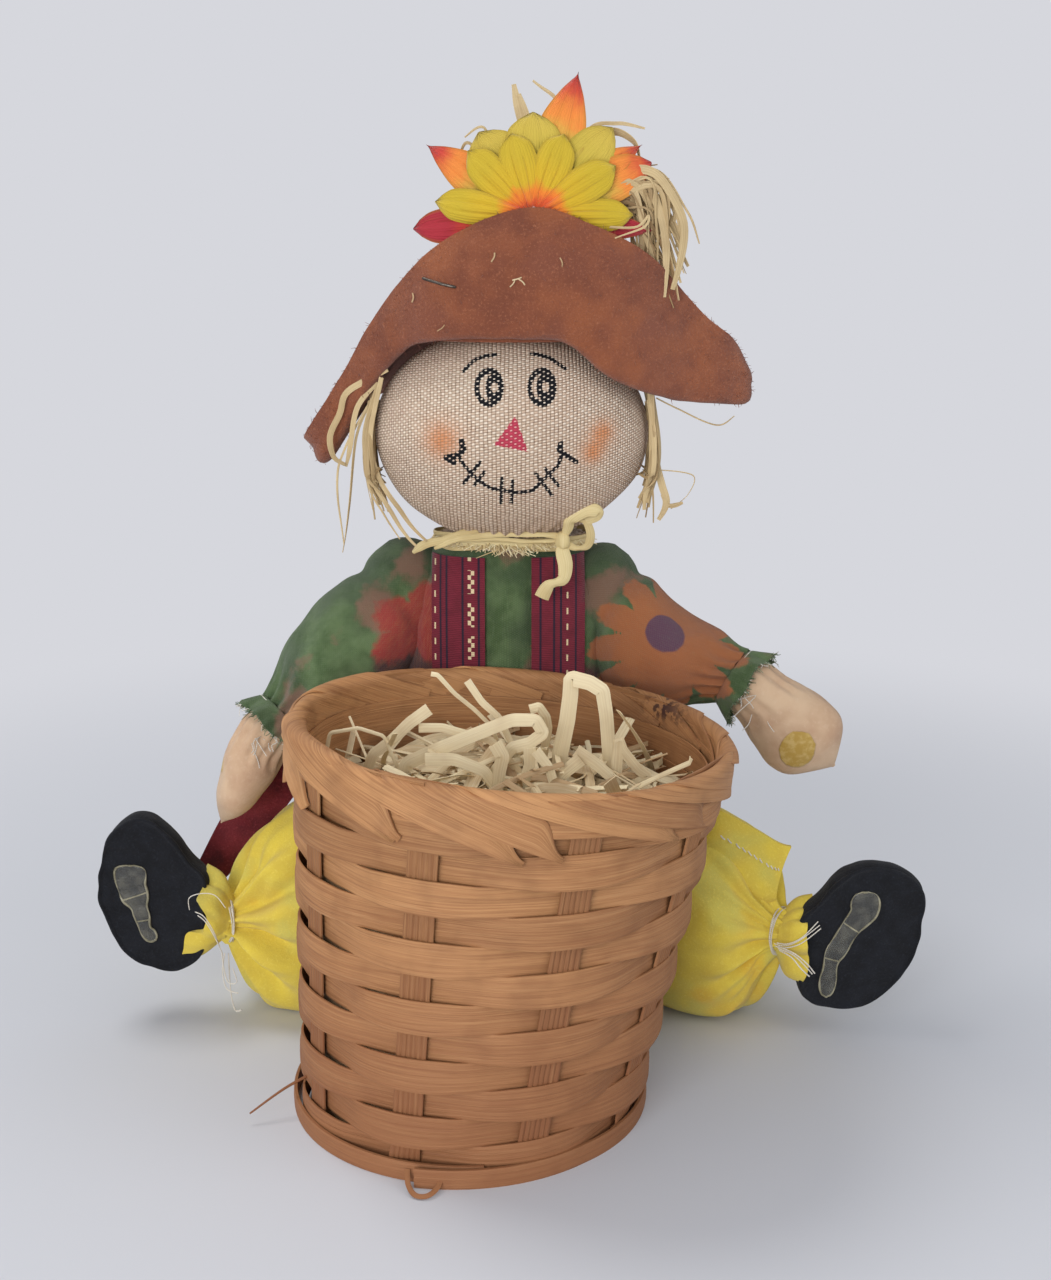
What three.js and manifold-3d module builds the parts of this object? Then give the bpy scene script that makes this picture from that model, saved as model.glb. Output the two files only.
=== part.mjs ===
// A seated scarecrow doll that holds a woven splint basket between its legs.
// Millimetres, +Z up. The doll looks along -Y, and its left-hand side in a front view is -X.
// The origin is the middle of the flat patch that its stuffed seat rests on.

import * as THREE from 'three';
import { mergeVertices } from 'three/addons/utils/BufferGeometryUtils.js';
import Module from 'manifold-3d';

const wasm = await Module();
wasm.setup();

// Driving dimensions shared by several pieces
const GAP = 0.35;            // clearance between pieces that touch
const FACET_ROOM = 1.035;    // a hollow's flat facets stand this much further out than a true curve
const FELT = 2.0;            // thickness of the hat's felt

// Stuffed seat of the trousers
const SEAT_HALF_WIDTH = 34;
const SEAT_HALF_DEPTH = 30;
const SEAT_HEIGHT = 64;
const SEAT_FLAT = 0.5;       // how deep the stuffed base is pressed flat

// Shirt body
const TORSO_HALF_WIDTH = 36;
const TORSO_HALF_DEPTH = 29;
const TORSO_TOP = 176;
const TORSO_X = -2;
const SHIRT_SQUARENESS = 2.4; // of the shirt's level sections: 2 is an ellipse
const SUSPENDER_WIDTH = 18.5;
const NECK_HALF_WIDTH = 28;
const NECK_HALF_DEPTH = 18;
const NECK_HEIGHT = 4.6;
const NECK_Y = -12;

// Head
const HEAD_HALF_WIDTH = 49;
const HEAD_HALF_DEPTH = 40;
const HEAD_HALF_HEIGHT = 39;
const HEAD_X = 0.5;
const HEAD_Y = -18;
const HEAD_SUNK = 1.2;       // how far the head is pressed flat on its gathered neck
const HEAD_BOTTOM = TORSO_TOP + NECK_HEIGHT + 2 * GAP;
const HEAD_Z = HEAD_BOTTOM + HEAD_HALF_HEIGHT - HEAD_SUNK;

// Arms: the shoulder is a stuffed ball in a hollow of the shirt, and so is each wrist in its cuff
const SHOULDER_RADIUS = 16;
const SLEEVE_SWELL = 22;
const WRIST_RADIUS = 8.5;
const SLEEVE_END_RADIUS = 11.5;
const CUFF_RADIUS = 15;
const CUFF_WIDTH = 9;
const CUFF_SETBACK = 1.5;    // how far short of the wrist's centre the cuff ends
const HAND_LENGTH = 41;
const HAND_HALF_WIDTH = 16.5;
const HAND_HALF_THICKNESS = 11;
const SHOULDER_Y = -2;
const ARM_LOWER = 5;         // degrees that an arm drops before it meets the body
const ARM_RAISE = 30;
const WRIST_SWING = 12;
const WRIST_Y = -28;
const ARMS = {
  left: { shoulder: [-37, 158], wrist: [-93, 106], handTip: [-110, 69] },
  right: { shoulder: [34, 158], wrist: [91, 123], handTip: [124, 99] },
};

// Legs: puffed felt trouser legs, tied at the ankle, with a stuffed shoe past the tie
const HIP_X = 29;
const HIP_Y = -4;
const HIP_Z = 34;
const HIP_BACK = 20;         // degrees that a leg can be swung back from where it lies
const HIP_FORWARD = 4;
const ANKLE_SWING = 10;
const HIP_RADIUS = 21.5;
const LEG_SWELL_HEIGHT = 42;
const LEG_SWELL_DEPTH = 30;
const ANKLE_RADIUS = 11.5;
const ANKLE_WALL = 2.2;
const HEM_RADIUS = 19;
const HEM_LENGTH = 17;
const LEG_CLEARANCE = 0.6;  // height of the pressed underside of a leg above the floor
const SHOE_HALF_DEPTH = 13;
const FLAP_Y = -47;          // back face of the stitched corner
const FLAP_THICKNESS = 2.6;
const TAIL_WIDTH = 13;
const LEGS = {
  left: { ankle: [-108, -42, 38], shoe: [-136, -43, 47.5], half: [19.5, 31], lean: 0.08 },
  right: { ankle: [100, -54, 38], shoe: [128, -56, 36], half: [21.5, 28.5], lean: -0.2 },
};

// Basket: nine upright stakes, one splint woven round them, a hoop at the foot and a plaited border
const STAKES = 9;
const STAKE_WIDTH = 10;
const STAKE_THICKNESS = 0.9;
const WEAVER_WIDTH = 9.8;
const WEAVER_THICKNESS = 0.8;
const WEAVER_PITCH = 10.1;
const WEAVE_AMPLITUDE = 1.95;
const BASKET_TOP_RADIUS = 70.5;
const BASKET_FOOT_RADIUS = 57;
const BASKET_HEIGHT = 126;   // to the middle of the border
const BASKET_LEAN = 14;      // how far the top stands to the right of the foot
const BASKET_DROP = 0.075;   // how much lower the border is for each millimetre to the right
const BORDER_HALF_HEIGHT = 7.2;
const BORDER_HALF_DEPTH = 2.7;
const BORDER_TURNS = 14;
const HOOP_HEIGHT = 6.5;
const HOOP_THICKNESS = 1.1;
const STRAW_LEVEL = 104;     // where the straw meets the wall
const STRAW_MOUND = 11;      // how much higher it is in the middle
const BASKET_CLEARANCE = 1;  // from the border to the shirt that the basket is glued to
const BORDER_LOBE = 0.13;
const BASKET_REACH = BASKET_TOP_RADIUS + BORDER_HALF_DEPTH * (1 + BORDER_LOBE);
const BASKET_Y = -(TORSO_HALF_DEPTH + BASKET_CLEARANCE + BASKET_REACH);

// Hat
const CROWN_HALF_WIDTH = 38;
const CROWN_HALF_DEPTH = 31;
const CROWN_RIM_Z = HEAD_Z + 34.9;
const CROWN_HEIGHT = 33;
const HAT_X = 1;
const HAIR_LENGTH = 44;

// Flower on the hat
const FLOWER_CENTRE = [11, -46.4, CROWN_RIM_Z + 42];
const OUTER_PETAL_LENGTH = 41;
const INNER_PETAL_LENGTH = 27;
const PETAL_THICKNESS = 0.8;
const PETAL_HEART = 8;       // radius of the round heart behind the petals
const PETAL_CUP = 0.002;     // how much a petal leans back, for each square millimetre of reach

const colour = {
  shirt: 0x4c7a48, burlap: 0xcdb49b, trousers: 0xebcf3c, shoe: 0x1b1b1e,
  hand: 0xe6cba6, felt: 0x9a5230, ribbon: 0x6d1f2a, straw: 0xdcc78f, splint: 0xc68f57,
  petal: 0xf08a28, petalInner: 0xf2d21e, steel: 0x7b7d80, thread: 0xf2eee6, maroon: 0x7d1420,
};

const doll = new THREE.Group();

// Adds one named piece of a given colour to the doll
function addPiece(name, geometry, tint, roughness = 0.9, metalness = 0) {
  const material = new THREE.MeshStandardMaterial({ color: tint, roughness, metalness });
  const mesh = new THREE.Mesh(geometry, material);
  mesh.name = name;
  doll.add(mesh);
  return mesh;
}

// Signed volume of an indexed closed geometry: negative when its faces point inward
function signedVolume(positions, indices) {
  const a = new THREE.Vector3();
  const b = new THREE.Vector3();
  const c = new THREE.Vector3();
  let total = 0;
  for (let i = 0; i < indices.length; i += 3) {
    a.fromArray(positions, 3 * indices[i]);
    b.fromArray(positions, 3 * indices[i + 1]);
    c.fromArray(positions, 3 * indices[i + 2]);
    total += a.dot(b.cross(c)) / 6;
  }
  return total;
}

// Builds a geometry from points and triangles, turned so that its faces point out
function closedGeometry(points, triangles) {
  const positions = points.flatMap((p) => [p.x, p.y, p.z]);
  const inward = signedVolume(positions, triangles.flat()) < 0;
  const indices = triangles.flatMap(([a, b, c]) => (inward ? [a, c, b] : [a, b, c]));
  const geometry = new THREE.BufferGeometry();
  geometry.setAttribute('position', new THREE.Float32BufferAttribute(positions, 3));
  geometry.setIndex(indices);
  return geometry;
}

// Skins a row of rings that have the same number of points: capped at its ends, or joined into a loop
function loft(rings, looped = false) {
  const sides = rings[0].length;
  const points = rings.flat();
  const triangles = [];
  const steps = looped ? rings.length : rings.length - 1;
  for (let i = 0; i < steps; i += 1) {
    const next = (i + 1) % rings.length;
    for (let j = 0; j < sides; j += 1) {
      const k = (j + 1) % sides;
      const [a, b] = [i * sides + j, i * sides + k];
      const [c, d] = [next * sides + j, next * sides + k];
      triangles.push([a, b, d], [a, d, c]);
    }
  }
  if (!looped) {
    const ends = [[rings[0], 0, true], [rings.at(-1), (rings.length - 1) * sides, false]];
    for (const [ring, offset, reversed] of ends) {
      const centre = points.length;
      const middle = ring.reduce((sum, p) => sum.add(p), new THREE.Vector3()).divideScalar(sides);
      points.push(middle);
      for (let j = 0; j < sides; j += 1) {
        const [a, b] = [offset + j, offset + ((j + 1) % sides)];
        triangles.push(reversed ? [centre, b, a] : [centre, a, b]);
      }
    }
  }
  return closedGeometry(points, triangles);
}

// Turns a closed geometry into a solid for cutting and joining
function solid(geometry) {
  const bare = geometry.clone();
  for (const name of Object.keys(bare.attributes)) {
    if (name !== 'position') bare.deleteAttribute(name);
  }
  const merged = mergeVertices(bare, 1e-4);
  const vertProperties = new Float32Array(merged.attributes.position.array);
  const triVerts = new Uint32Array(merged.index.array);
  return new wasm.Manifold(new wasm.Mesh({ numProp: 3, vertProperties, triVerts }));
}

// Turns a cut or joined solid back into a geometry
function geometryOf(manifold) {
  const mesh = manifold.getMesh();
  const geometry = new THREE.BufferGeometry();
  geometry.setAttribute('position', new THREE.BufferAttribute(new Float32Array(mesh.vertProperties), 3));
  geometry.setIndex(new THREE.BufferAttribute(new Uint32Array(mesh.triVerts), 1));
  return geometry;
}

// Cuts every geometry of a list away from a first one
function cut(geometry, ...cutters) {
  return geometryOf(cutters.reduce((rest, cutter) => rest.subtract(solid(cutter)), solid(geometry)));
}

// Joins geometries that run into each other
function join(...geometries) {
  return geometryOf(geometries.map(solid).reduce((sum, next) => sum.add(next)));
}

// A smooth curve through numbers spaced evenly from 0 to 1
function smooth(values) {
  const curve = new THREE.SplineCurve(values.map((v, i) => new THREE.Vector2(i, v)));
  return (t) => curve.getPoint(THREE.MathUtils.clamp(t, 0, 1)).y;
}

function vec(x, y, z) {
  return new THREE.Vector3(x, y, z);
}

// An ellipsoid of given centre and half sizes
function ellipsoid(centre, halves, across = 20, down = 12) {
  const geometry = new THREE.SphereGeometry(1, across, down);
  geometry.rotateX(Math.PI / 2);
  geometry.scale(...halves);
  geometry.translate(...centre);
  return geometry;
}

// A flat ring of points: a rounded oblong in a level plane
function oblong(z, halfX, halfY, centreX, centreY, sides, squareness = SHIRT_SQUARENESS) {
  return Array.from({ length: sides }, (_, j) => {
    const angle = (j / sides) * 2 * Math.PI;
    const [c, s] = [Math.cos(angle), Math.sin(angle)];
    const x = Math.sign(c) * Math.abs(c) ** (2 / squareness);
    const y = Math.sign(s) * Math.abs(s) ** (2 / squareness);
    return vec(centreX + halfX * x, centreY + halfY * y, z);
  });
}

// Rings of a stuffed limb that starts as a ball round a joint and swells or tapers to its far end.
// grow adds room all round, for the hollow that the limb turns in.
function limbRings({
  from, to, up, side, ball, rise = 0, rings = 8, sides = 14, flatAt = -Infinity, neck = 0, grow = 0,
}) {
  const start = vec(...from);
  const along = vec(...to).sub(start);
  const length = along.length();
  along.normalize();
  const upward = vec(0, 0, 1).addScaledVector(along, -along.z).normalize();
  const sideways = along.clone().cross(upward);
  const upAt = smooth(up);
  const sideAt = smooth(side);
  const radius = ball + grow;
  const stations = [-1.3, -0.95, -0.6, -0.28].map((angle) => {
    return [radius * Math.sin(angle), radius * Math.cos(angle), radius * Math.cos(angle)];
  });
  for (let i = 0; i <= rings; i += 1) {
    const t = i / rings;
    stations.push([neck * (1 - t) + length * t, upAt(t) + grow, sideAt(t) + grow]);
  }
  const loops = stations.map(([distance, halfUp, halfSide]) => {
    const bulge = rise * Math.sin(Math.PI * THREE.MathUtils.clamp(distance / length, 0, 1));
    const middle = start.clone().addScaledVector(along, distance).addScaledVector(upward, bulge);
    return Array.from({ length: sides }, (_, j) => {
      const angle = (j / sides) * 2 * Math.PI;
      const point = middle.clone().addScaledVector(upward, halfUp * Math.cos(angle));
      point.addScaledVector(sideways, halfSide * Math.sin(angle));
      point.z = Math.max(point.z, flatAt);
      return point;
    });
  });
  return { loops, start, along, upward, sideways };
}

function limb(spec) {
  return loft(limbRings(spec).loops);
}

// The hollow that a limb turns in: at each angle from its axis, the furthest that any part of it
// reaches while it swings up, down, or to the plus or minus side, by so many degrees
function hollow(spec, { up = 0, down = 0, plus = 0, minus = 0 }) {
  const { loops, start, along, upward, sideways } = limbRings({ ...spec, grow: GAP + 0.35 });
  const columns = loops[0].map((_, j) => loops.map((ring) => {
    const arm = ring[j].clone().sub(start);
    const [high, wide] = [arm.dot(upward), arm.dot(sideways)];
    return { tilt: Math.atan2(Math.hypot(high, wide), arm.dot(along)), reach: arm.length() };
  }));
  const reachAt = (column, tilt) => {
    const next = column.findIndex((p) => p.tilt <= tilt);
    if (next <= 0) return column[next === 0 ? 0 : column.length - 1].reach;
    const [p, q] = [column[next - 1], column[next]];
    return THREE.MathUtils.mapLinear(tilt, p.tilt, q.tilt, p.reach, q.reach);
  };
  const tilts = [160, 138, 120, 105, 92, 80, 69, 58, 47].map(THREE.MathUtils.degToRad);
  return loft(tilts.map((tilt) => columns.map((column, j) => {
    const turn = (j / columns.length) * 2 * Math.PI;
    const [c, s] = [Math.cos(turn), Math.sin(turn)];
    const swing = Math.abs(c) * (c > 0 ? up : down) + Math.abs(s) * (s > 0 ? plus : minus);
    const window = THREE.MathUtils.degToRad(swing);
    const sweep = [0, 0.25, 0.5, 0.75, 1].map((share) => reachAt(column, tilt - share * window));
    const reach = Math.max(...sweep) * FACET_ROOM;
    return start.clone().addScaledVector(along, reach * Math.cos(tilt))
      .addScaledVector(upward, reach * Math.sin(tilt) * c)
      .addScaledVector(sideways, reach * Math.sin(tilt) * s);
  })));
}

// A flat strip that follows a row of points, with its width and thickness directions at each point
function strip(points, across, outward, width, thickness) {
  return points.map((p, i) => {
    const wide = across[i].clone().multiplyScalar(width / 2);
    const deep = outward[i].clone().multiplyScalar(thickness / 2);
    return [
      p.clone().add(wide).add(deep), p.clone().sub(wide).add(deep),
      p.clone().sub(wide).sub(deep), p.clone().add(wide).sub(deep),
    ];
  });
}

// A strand of straw or raffia through hand-placed points, as a thin ribbon facing a given way
function strand(route, width, thickness, facing, steps = 6) {
  const curve = new THREE.CatmullRomCurve3(route.map((p) => vec(...p)));
  const face = vec(...facing).normalize();
  const rings = [];
  for (let i = 0; i <= steps; i += 1) {
    const t = i / steps;
    const tangent = curve.getTangent(t);
    const across = tangent.clone().cross(face).normalize();
    const outward = across.clone().cross(tangent).normalize();
    rings.push(...strip([curve.getPoint(t)], [across], [outward], width, thickness));
  }
  return loft(rings);
}

// Repeatable scatter between -1 and 1
function scatter(index, salt) {
  const value = Math.sin(index * 12.9898 + salt * 78.233) * 43758.5453;
  return 2 * (value - Math.floor(value)) - 1;
}

// Half width and half depth of the shirt body at a height, with its top drawn in to the neck
const TORSO_BASE = SEAT_HEIGHT + GAP;
const torsoWide = smooth([0.93, 0.98, 1.0, 0.98, 0.95, 0.93, NECK_HALF_WIDTH / TORSO_HALF_WIDTH]);
const torsoDeep = smooth([0.96, 1.0, 1.0, 0.98, 0.93, 0.85, NECK_HALF_DEPTH / TORSO_HALF_DEPTH]);
const torsoShift = smooth([0, 0, 0, 0, -1, -3, NECK_Y / 2]);

function torsoRing(t, sides) {
  const z = TORSO_BASE + (TORSO_TOP - TORSO_BASE) * t;
  return oblong(z, TORSO_HALF_WIDTH * torsoWide(t), TORSO_HALF_DEPTH * torsoDeep(t), TORSO_X,
    torsoShift(t), sides);
}

function armDirections(arm) {
  const shoulder = [arm.shoulder[0], SHOULDER_Y, arm.shoulder[1]];
  const wrist = [arm.wrist[0], WRIST_Y, arm.wrist[1]];
  const handTip = [arm.handTip[0], WRIST_Y - 4, arm.handTip[1]];
  return { shoulder, wrist, handTip };
}

function sleeveSpec(side) {
  const { shoulder, wrist } = armDirections(ARMS[side]);
  const toWrist = vec(...wrist).sub(vec(...shoulder)).normalize();
  const end = vec(...wrist).addScaledVector(toWrist, -CUFF_WIDTH - CUFF_SETBACK).toArray();
  return {
    from: shoulder, to: end, ball: SHOULDER_RADIUS, neck: 2, rise: 2,
    up: [SHOULDER_RADIUS, SLEEVE_SWELL * 0.9, SLEEVE_SWELL, SLEEVE_SWELL * 0.86, SLEEVE_END_RADIUS],
    side: [SHOULDER_RADIUS, SLEEVE_SWELL * 0.82, SLEEVE_SWELL * 0.9, SLEEVE_SWELL * 0.75, SLEEVE_END_RADIUS],
  };
}

function handSpec(side) {
  const { wrist, handTip } = armDirections(ARMS[side]);
  const toTip = vec(...handTip).sub(vec(...wrist)).normalize();
  return {
    from: wrist, to: vec(...wrist).addScaledVector(toTip, HAND_LENGTH).toArray(),
    ball: WRIST_RADIUS, neck: 3, rings: 7, sides: 12,
    up: [WRIST_RADIUS, HAND_HALF_WIDTH * 0.86, HAND_HALF_WIDTH, HAND_HALF_WIDTH * 0.84, 4],
    side: [WRIST_RADIUS, HAND_HALF_THICKNESS, HAND_HALF_THICKNESS, HAND_HALF_THICKNESS * 0.8, 3],
  };
}

function legSpec(side) {
  const [high, deep] = [LEG_SWELL_HEIGHT, LEG_SWELL_DEPTH];
  const collar = ANKLE_RADIUS + ANKLE_WALL;
  return {
    from: hipOf(side), to: LEGS[side].ankle, ball: HIP_RADIUS, neck: 2, rise: 5, rings: 10, sides: 16,
    flatAt: LEG_CLEARANCE,
    up: [HIP_RADIUS, high * 0.7, high * 0.97, high, high * 0.74, collar],
    side: [HIP_RADIUS, deep * 0.9, deep, deep * 0.96, deep * 0.7, collar],
  };
}

function hemSpec(side) {
  const leg = LEGS[side];
  const outward = vec(...leg.shoe).sub(vec(...leg.ankle)).normalize();
  return {
    from: leg.ankle, to: vec(...leg.ankle).addScaledVector(outward, HEM_LENGTH).toArray(),
    ball: ANKLE_RADIUS, neck: 3.6, rings: 4, sides: 14,
    up: [ANKLE_RADIUS, HEM_RADIUS * 0.8, HEM_RADIUS],
    side: [ANKLE_RADIUS, HEM_RADIUS * 0.62, HEM_RADIUS * 0.66],
  };
}

function hipOf(side) {
  return [side === 'left' ? -HIP_X : HIP_X, HIP_Y, HIP_Z];
}

// Body of the doll
function buildSeat() {
  const rings = [];
  const wide = smooth([0.86, 0.97, 1.0, 1.0, 0.96, 0.88]);
  const steps = 6;
  for (let i = 0; i <= steps; i += 1) {
    const t = i / steps;
    rings.push(oblong(SEAT_HEIGHT * t, SEAT_HALF_WIDTH * wide(t), SEAT_HALF_DEPTH * wide(t), 0, 0, 24));
  }
  // The stuffing bulges a little round the patch that is pressed flat
  for (const point of rings[0]) point.multiplyScalar(1 - SEAT_FLAT / SEAT_HALF_DEPTH);
  // Each hip is a hollow with room for the leg all through its swing
  const hips = [
    hollow(legSpec('left'), { plus: HIP_BACK, minus: HIP_FORWARD }),
    hollow(legSpec('right'), { plus: HIP_FORWARD, minus: HIP_BACK }),
  ];
  addPiece('trousers_seat', cut(loft(rings), ...hips), colour.trousers);
}

function buildTorso() {
  const rings = [];
  const steps = 10;
  for (let i = 0; i <= steps; i += 1) rings.push(torsoRing(i / steps, 24));
  // Each shoulder is a hollow with room for the sleeve down to its lowest
  const swing = { up: ARM_RAISE, down: ARM_LOWER };
  const shoulders = ['left', 'right'].map((side) => hollow(sleeveSpec(side), swing));
  addPiece('torso', cut(loft(rings), ...shoulders), colour.shirt);
}

function buildNeck() {
  const bottom = TORSO_TOP + GAP;
  const rings = [0, 0.5, 1].map((t) => {
    const ring = oblong(bottom + NECK_HEIGHT * t, NECK_HALF_WIDTH - 1, NECK_HALF_DEPTH - 1, 0, NECK_Y, 32, 2);
    // Gathers: the burlap is pleated round the neck
    ring.forEach((point, j) => {
      const fold = j % 2 === 0 ? 1 : 0.95;
      point.set(point.x * fold, NECK_Y + (point.y - NECK_Y) * fold, point.z);
    });
    return ring;
  });
  addPiece('neck_gather', loft(rings), colour.burlap);
}

function buildNeckTie() {
  const tube = 1.9;
  const bandZ = TORSO_TOP + GAP + NECK_HEIGHT / 2;
  const steps = 30;
  const rings = [];
  for (let i = 0; i < steps; i += 1) {
    const angle = (i / steps) * 2 * Math.PI;
    const outward = vec(Math.cos(angle), Math.sin(angle), 0);
    const reachX = NECK_HALF_WIDTH - 1 + GAP + tube * 1.05;
    const reachY = NECK_HALF_DEPTH - 1 + GAP + tube * 1.05;
    const middle = vec(reachX * Math.cos(angle), NECK_Y + reachY * Math.sin(angle), bandZ);
    rings.push(Array.from({ length: 6 }, (_, j) => {
      const turn = (j / 6) * 2 * Math.PI;
      const point = middle.clone().addScaledVector(outward, tube * Math.cos(turn));
      point.z += tube * Math.sin(turn);
      return point;
    }));
  }
  // The knot sits on the band at the right, with one loop above it and two loose ends on the chest
  const knot = [21, NECK_Y - NECK_HALF_DEPTH + 1.5, bandZ];
  const front = NECK_Y - NECK_HALF_DEPTH - 3;
  const ends = [
    [[[26, -2, 4.3], [31, -4, 7.8], [35, -3, 4.3]], 5, [0, 1, 0.2]],
    [[[22, -1, -6.7], [17, -2, -12.7], [11, -1.5, -17.7]], 6, [0, 1, 0]],
    [[[25, -1, -2.7], [26, -2.5, -10.7], [24, -2.5, -16.7]], 5, [0, 1, 0.1]],
  ].map(([route, width, facing]) => {
    const points = route.map(([x, y, z]) => [x, front + y, bandZ + z]);
    return strand([knot, ...points], width, 1, facing);
  });
  const band = loft(rings, true);
  addPiece('neck_tie', join(band, ellipsoid(knot, [5, 4, 4], 10, 8), ...ends), colour.straw);
}

// A ribbon lies on the shirt from the waist up to the neck, in front or behind
function buildSuspender(name, x, facing) {
  const thickness = 0.9;
  const lift = GAP + 0.3 + thickness / 2;
  const [low, high] = [0.1, 0.975];
  const steps = 9;
  const power = SHIRT_SQUARENESS;
  const [route, across, outward] = [[], [], []];
  for (let i = 0; i <= steps; i += 1) {
    const t = THREE.MathUtils.lerp(low, high, i / steps);
    const halfX = TORSO_HALF_WIDTH * torsoWide(t);
    const halfY = TORSO_HALF_DEPTH * torsoDeep(t);
    const reach = (x - TORSO_X) / halfX;
    const rise = (1 - Math.abs(reach) ** power) ** (1 / power);
    const slope = Math.sign(reach) * (Math.abs(reach) ** (power - 1) / rise ** (power - 1)) * (halfY / halfX);
    route.push(vec(x, torsoShift(t) + facing * halfY * rise, TORSO_BASE + (TORSO_TOP - TORSO_BASE) * t));
    across.push(vec(1, -facing * slope, 0).normalize());
  }
  for (let i = 0; i <= steps; i += 1) {
    const ahead = route[Math.min(i + 1, steps)].clone().sub(route[Math.max(i - 1, 0)]).normalize();
    const away = ahead.clone().cross(across[i]).normalize();
    outward.push(away.multiplyScalar(Math.sign(away.y) * facing));
  }
  const raised = route.map((p, i) => p.clone().addScaledVector(outward[i], lift));
  addPiece(name, loft(strip(raised, across, outward, SUSPENDER_WIDTH, thickness)), colour.ribbon);
}

// Arms
function buildArm(side) {
  const { shoulder, wrist } = armDirections(ARMS[side]);
  const toWrist = vec(...wrist).sub(vec(...shoulder)).normalize();
  const sleeveEnd = vec(...wrist).addScaledVector(toWrist, -CUFF_WIDTH - CUFF_SETBACK).toArray();
  addPiece(`${side}_sleeve`, limb(sleeveSpec(side)), colour.shirt);

  // Gathered cuff: a frilled ring that ends at the wrist, hollowed for the ball of the hand
  const frillSides = 24;
  const rings = [0, 0.5, 1].map((t) => {
    const middle = vec(...sleeveEnd).addScaledVector(toWrist, GAP + (CUFF_WIDTH - GAP) * t);
    const radius = THREE.MathUtils.lerp(SLEEVE_END_RADIUS, CUFF_RADIUS, t ** 1.5);
    const upward = vec(0, 0, 1).addScaledVector(toWrist, -toWrist.z).normalize();
    const sideways = toWrist.clone().cross(upward);
    return Array.from({ length: frillSides }, (_, j) => {
      const angle = (j / frillSides) * 2 * Math.PI;
      const reach = radius * (1 + (j % 2 === 0 ? 0.07 : -0.07) * t);
      return middle.clone().addScaledVector(upward, reach * Math.cos(angle))
        .addScaledVector(sideways, reach * Math.sin(angle));
    });
  });
  const wristRoom = hollow(handSpec(side), { up: WRIST_SWING, down: WRIST_SWING });
  addPiece(`${side}_cuff`, cut(loft(rings), wristRoom), colour.shirt);

  // Thread wound round the end of the sleeve, just before the cuff flares
  const threadRadius = SLEEVE_END_RADIUS + GAP + 1.3;
  const thread = new THREE.TorusGeometry(threadRadius, 0.6, 5, 16);
  thread.lookAt(toWrist);
  thread.translate(...vec(...sleeveEnd).addScaledVector(toWrist, GAP + 1).toArray());
  addPiece(`${side}_wrist_thread`, thread, colour.thread);

  // Mitten hand: a ball in the cuff, a flattened palm and a rounded tip
  addPiece(`${side}_hand`, limb(handSpec(side)), colour.hand);
}

// Legs
function buildLeg(side) {
  const leg = LEGS[side];
  const toAnkle = vec(...leg.ankle).sub(vec(...hipOf(side))).normalize();
  const collar = ANKLE_RADIUS + ANKLE_WALL;
  const ankleRoom = hollow(hemSpec(side), { up: ANKLE_SWING, down: ANKLE_SWING });
  addPiece(`${side}_leg`, cut(limb(legSpec(side)), ankleRoom), colour.trousers);

  const thread = new THREE.TorusGeometry(collar + GAP + 2.6, 0.7, 5, 18);
  thread.lookAt(toAnkle);
  thread.translate(...vec(...leg.ankle).addScaledVector(toAnkle, -1.4).toArray());
  addPiece(`${side}_ankle_thread`, thread, colour.thread);

  // Shoe: a stuffed oval with a flat sole that faces forward
  const [halfWidth, halfHeight] = leg.half;
  const shoe = ellipsoid([0, 0, 0], [halfWidth, SHOE_HALF_DEPTH, halfHeight], 18, 10);
  const soleAt = -SHOE_HALF_DEPTH * 0.45;
  const position = shoe.attributes.position;
  for (let i = 0; i < position.count; i += 1) {
    if (position.getY(i) < 0) position.setY(i, position.getY(i) * 0.62);
    position.setY(i, Math.max(position.getY(i), soleAt));
  }
  shoe.rotateY(-leg.lean);
  shoe.translate(...leg.shoe);
  addPiece(`${side}_shoe`, shoe, colour.shoe);

  // Trouser hem past the tie: it flares over the edge of the shoe
  const shoeRoom = shoe.clone();
  shoeRoom.translate(...leg.shoe.map((v) => -v));
  shoeRoom.scale(...[halfWidth, SHOE_HALF_DEPTH, halfHeight].map((half) => 1 + (2 * GAP) / half));
  shoeRoom.translate(...leg.shoe);
  addPiece(`${side}_trouser_hem`, cut(limb(hemSpec(side)), shoeRoom), colour.trousers);
}

// A stitched corner of the right trouser leg stands out past its stuffing, and a maroon felt tail
// is sewn to the back of the left one
function buildLegTrim() {
  const corner = new THREE.Shape();
  corner.moveTo(66, 82);
  corner.lineTo(72, 87);
  corner.lineTo(104.5, 72);
  corner.quadraticCurveTo(101, 62, 97, 53);
  corner.lineTo(88, 56);
  corner.closePath();
  const sheet = { depth: FLAP_THICKNESS, bevelEnabled: false, curveSegments: 4 };
  const flap = new THREE.ExtrudeGeometry(corner, sheet);
  flap.rotateX(Math.PI / 2);
  flap.translate(0, FLAP_Y, 0);
  const rightLeg = limb({ ...legSpec('right'), grow: GAP });
  addPiece('right_trouser_flap', cut(flap, rightLeg), colour.trousers);

  const route = [[-57, -7, 78], [-70, -8, 91], [-84, -8, 91], [-99, -9, 74], [-111, -10, 57]];
  const leftLeg = limb({ ...legSpec('left'), grow: GAP });
  addPiece('felt_tail', cut(strand(route, TAIL_WIDTH, 2.4, [0, 1, 0], 8), leftLeg), colour.maroon);
}

// Basket
function basketMiddle(s) {
  return vec(-BASKET_LEAN + BASKET_LEAN * s, BASKET_Y, 0);
}

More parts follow.
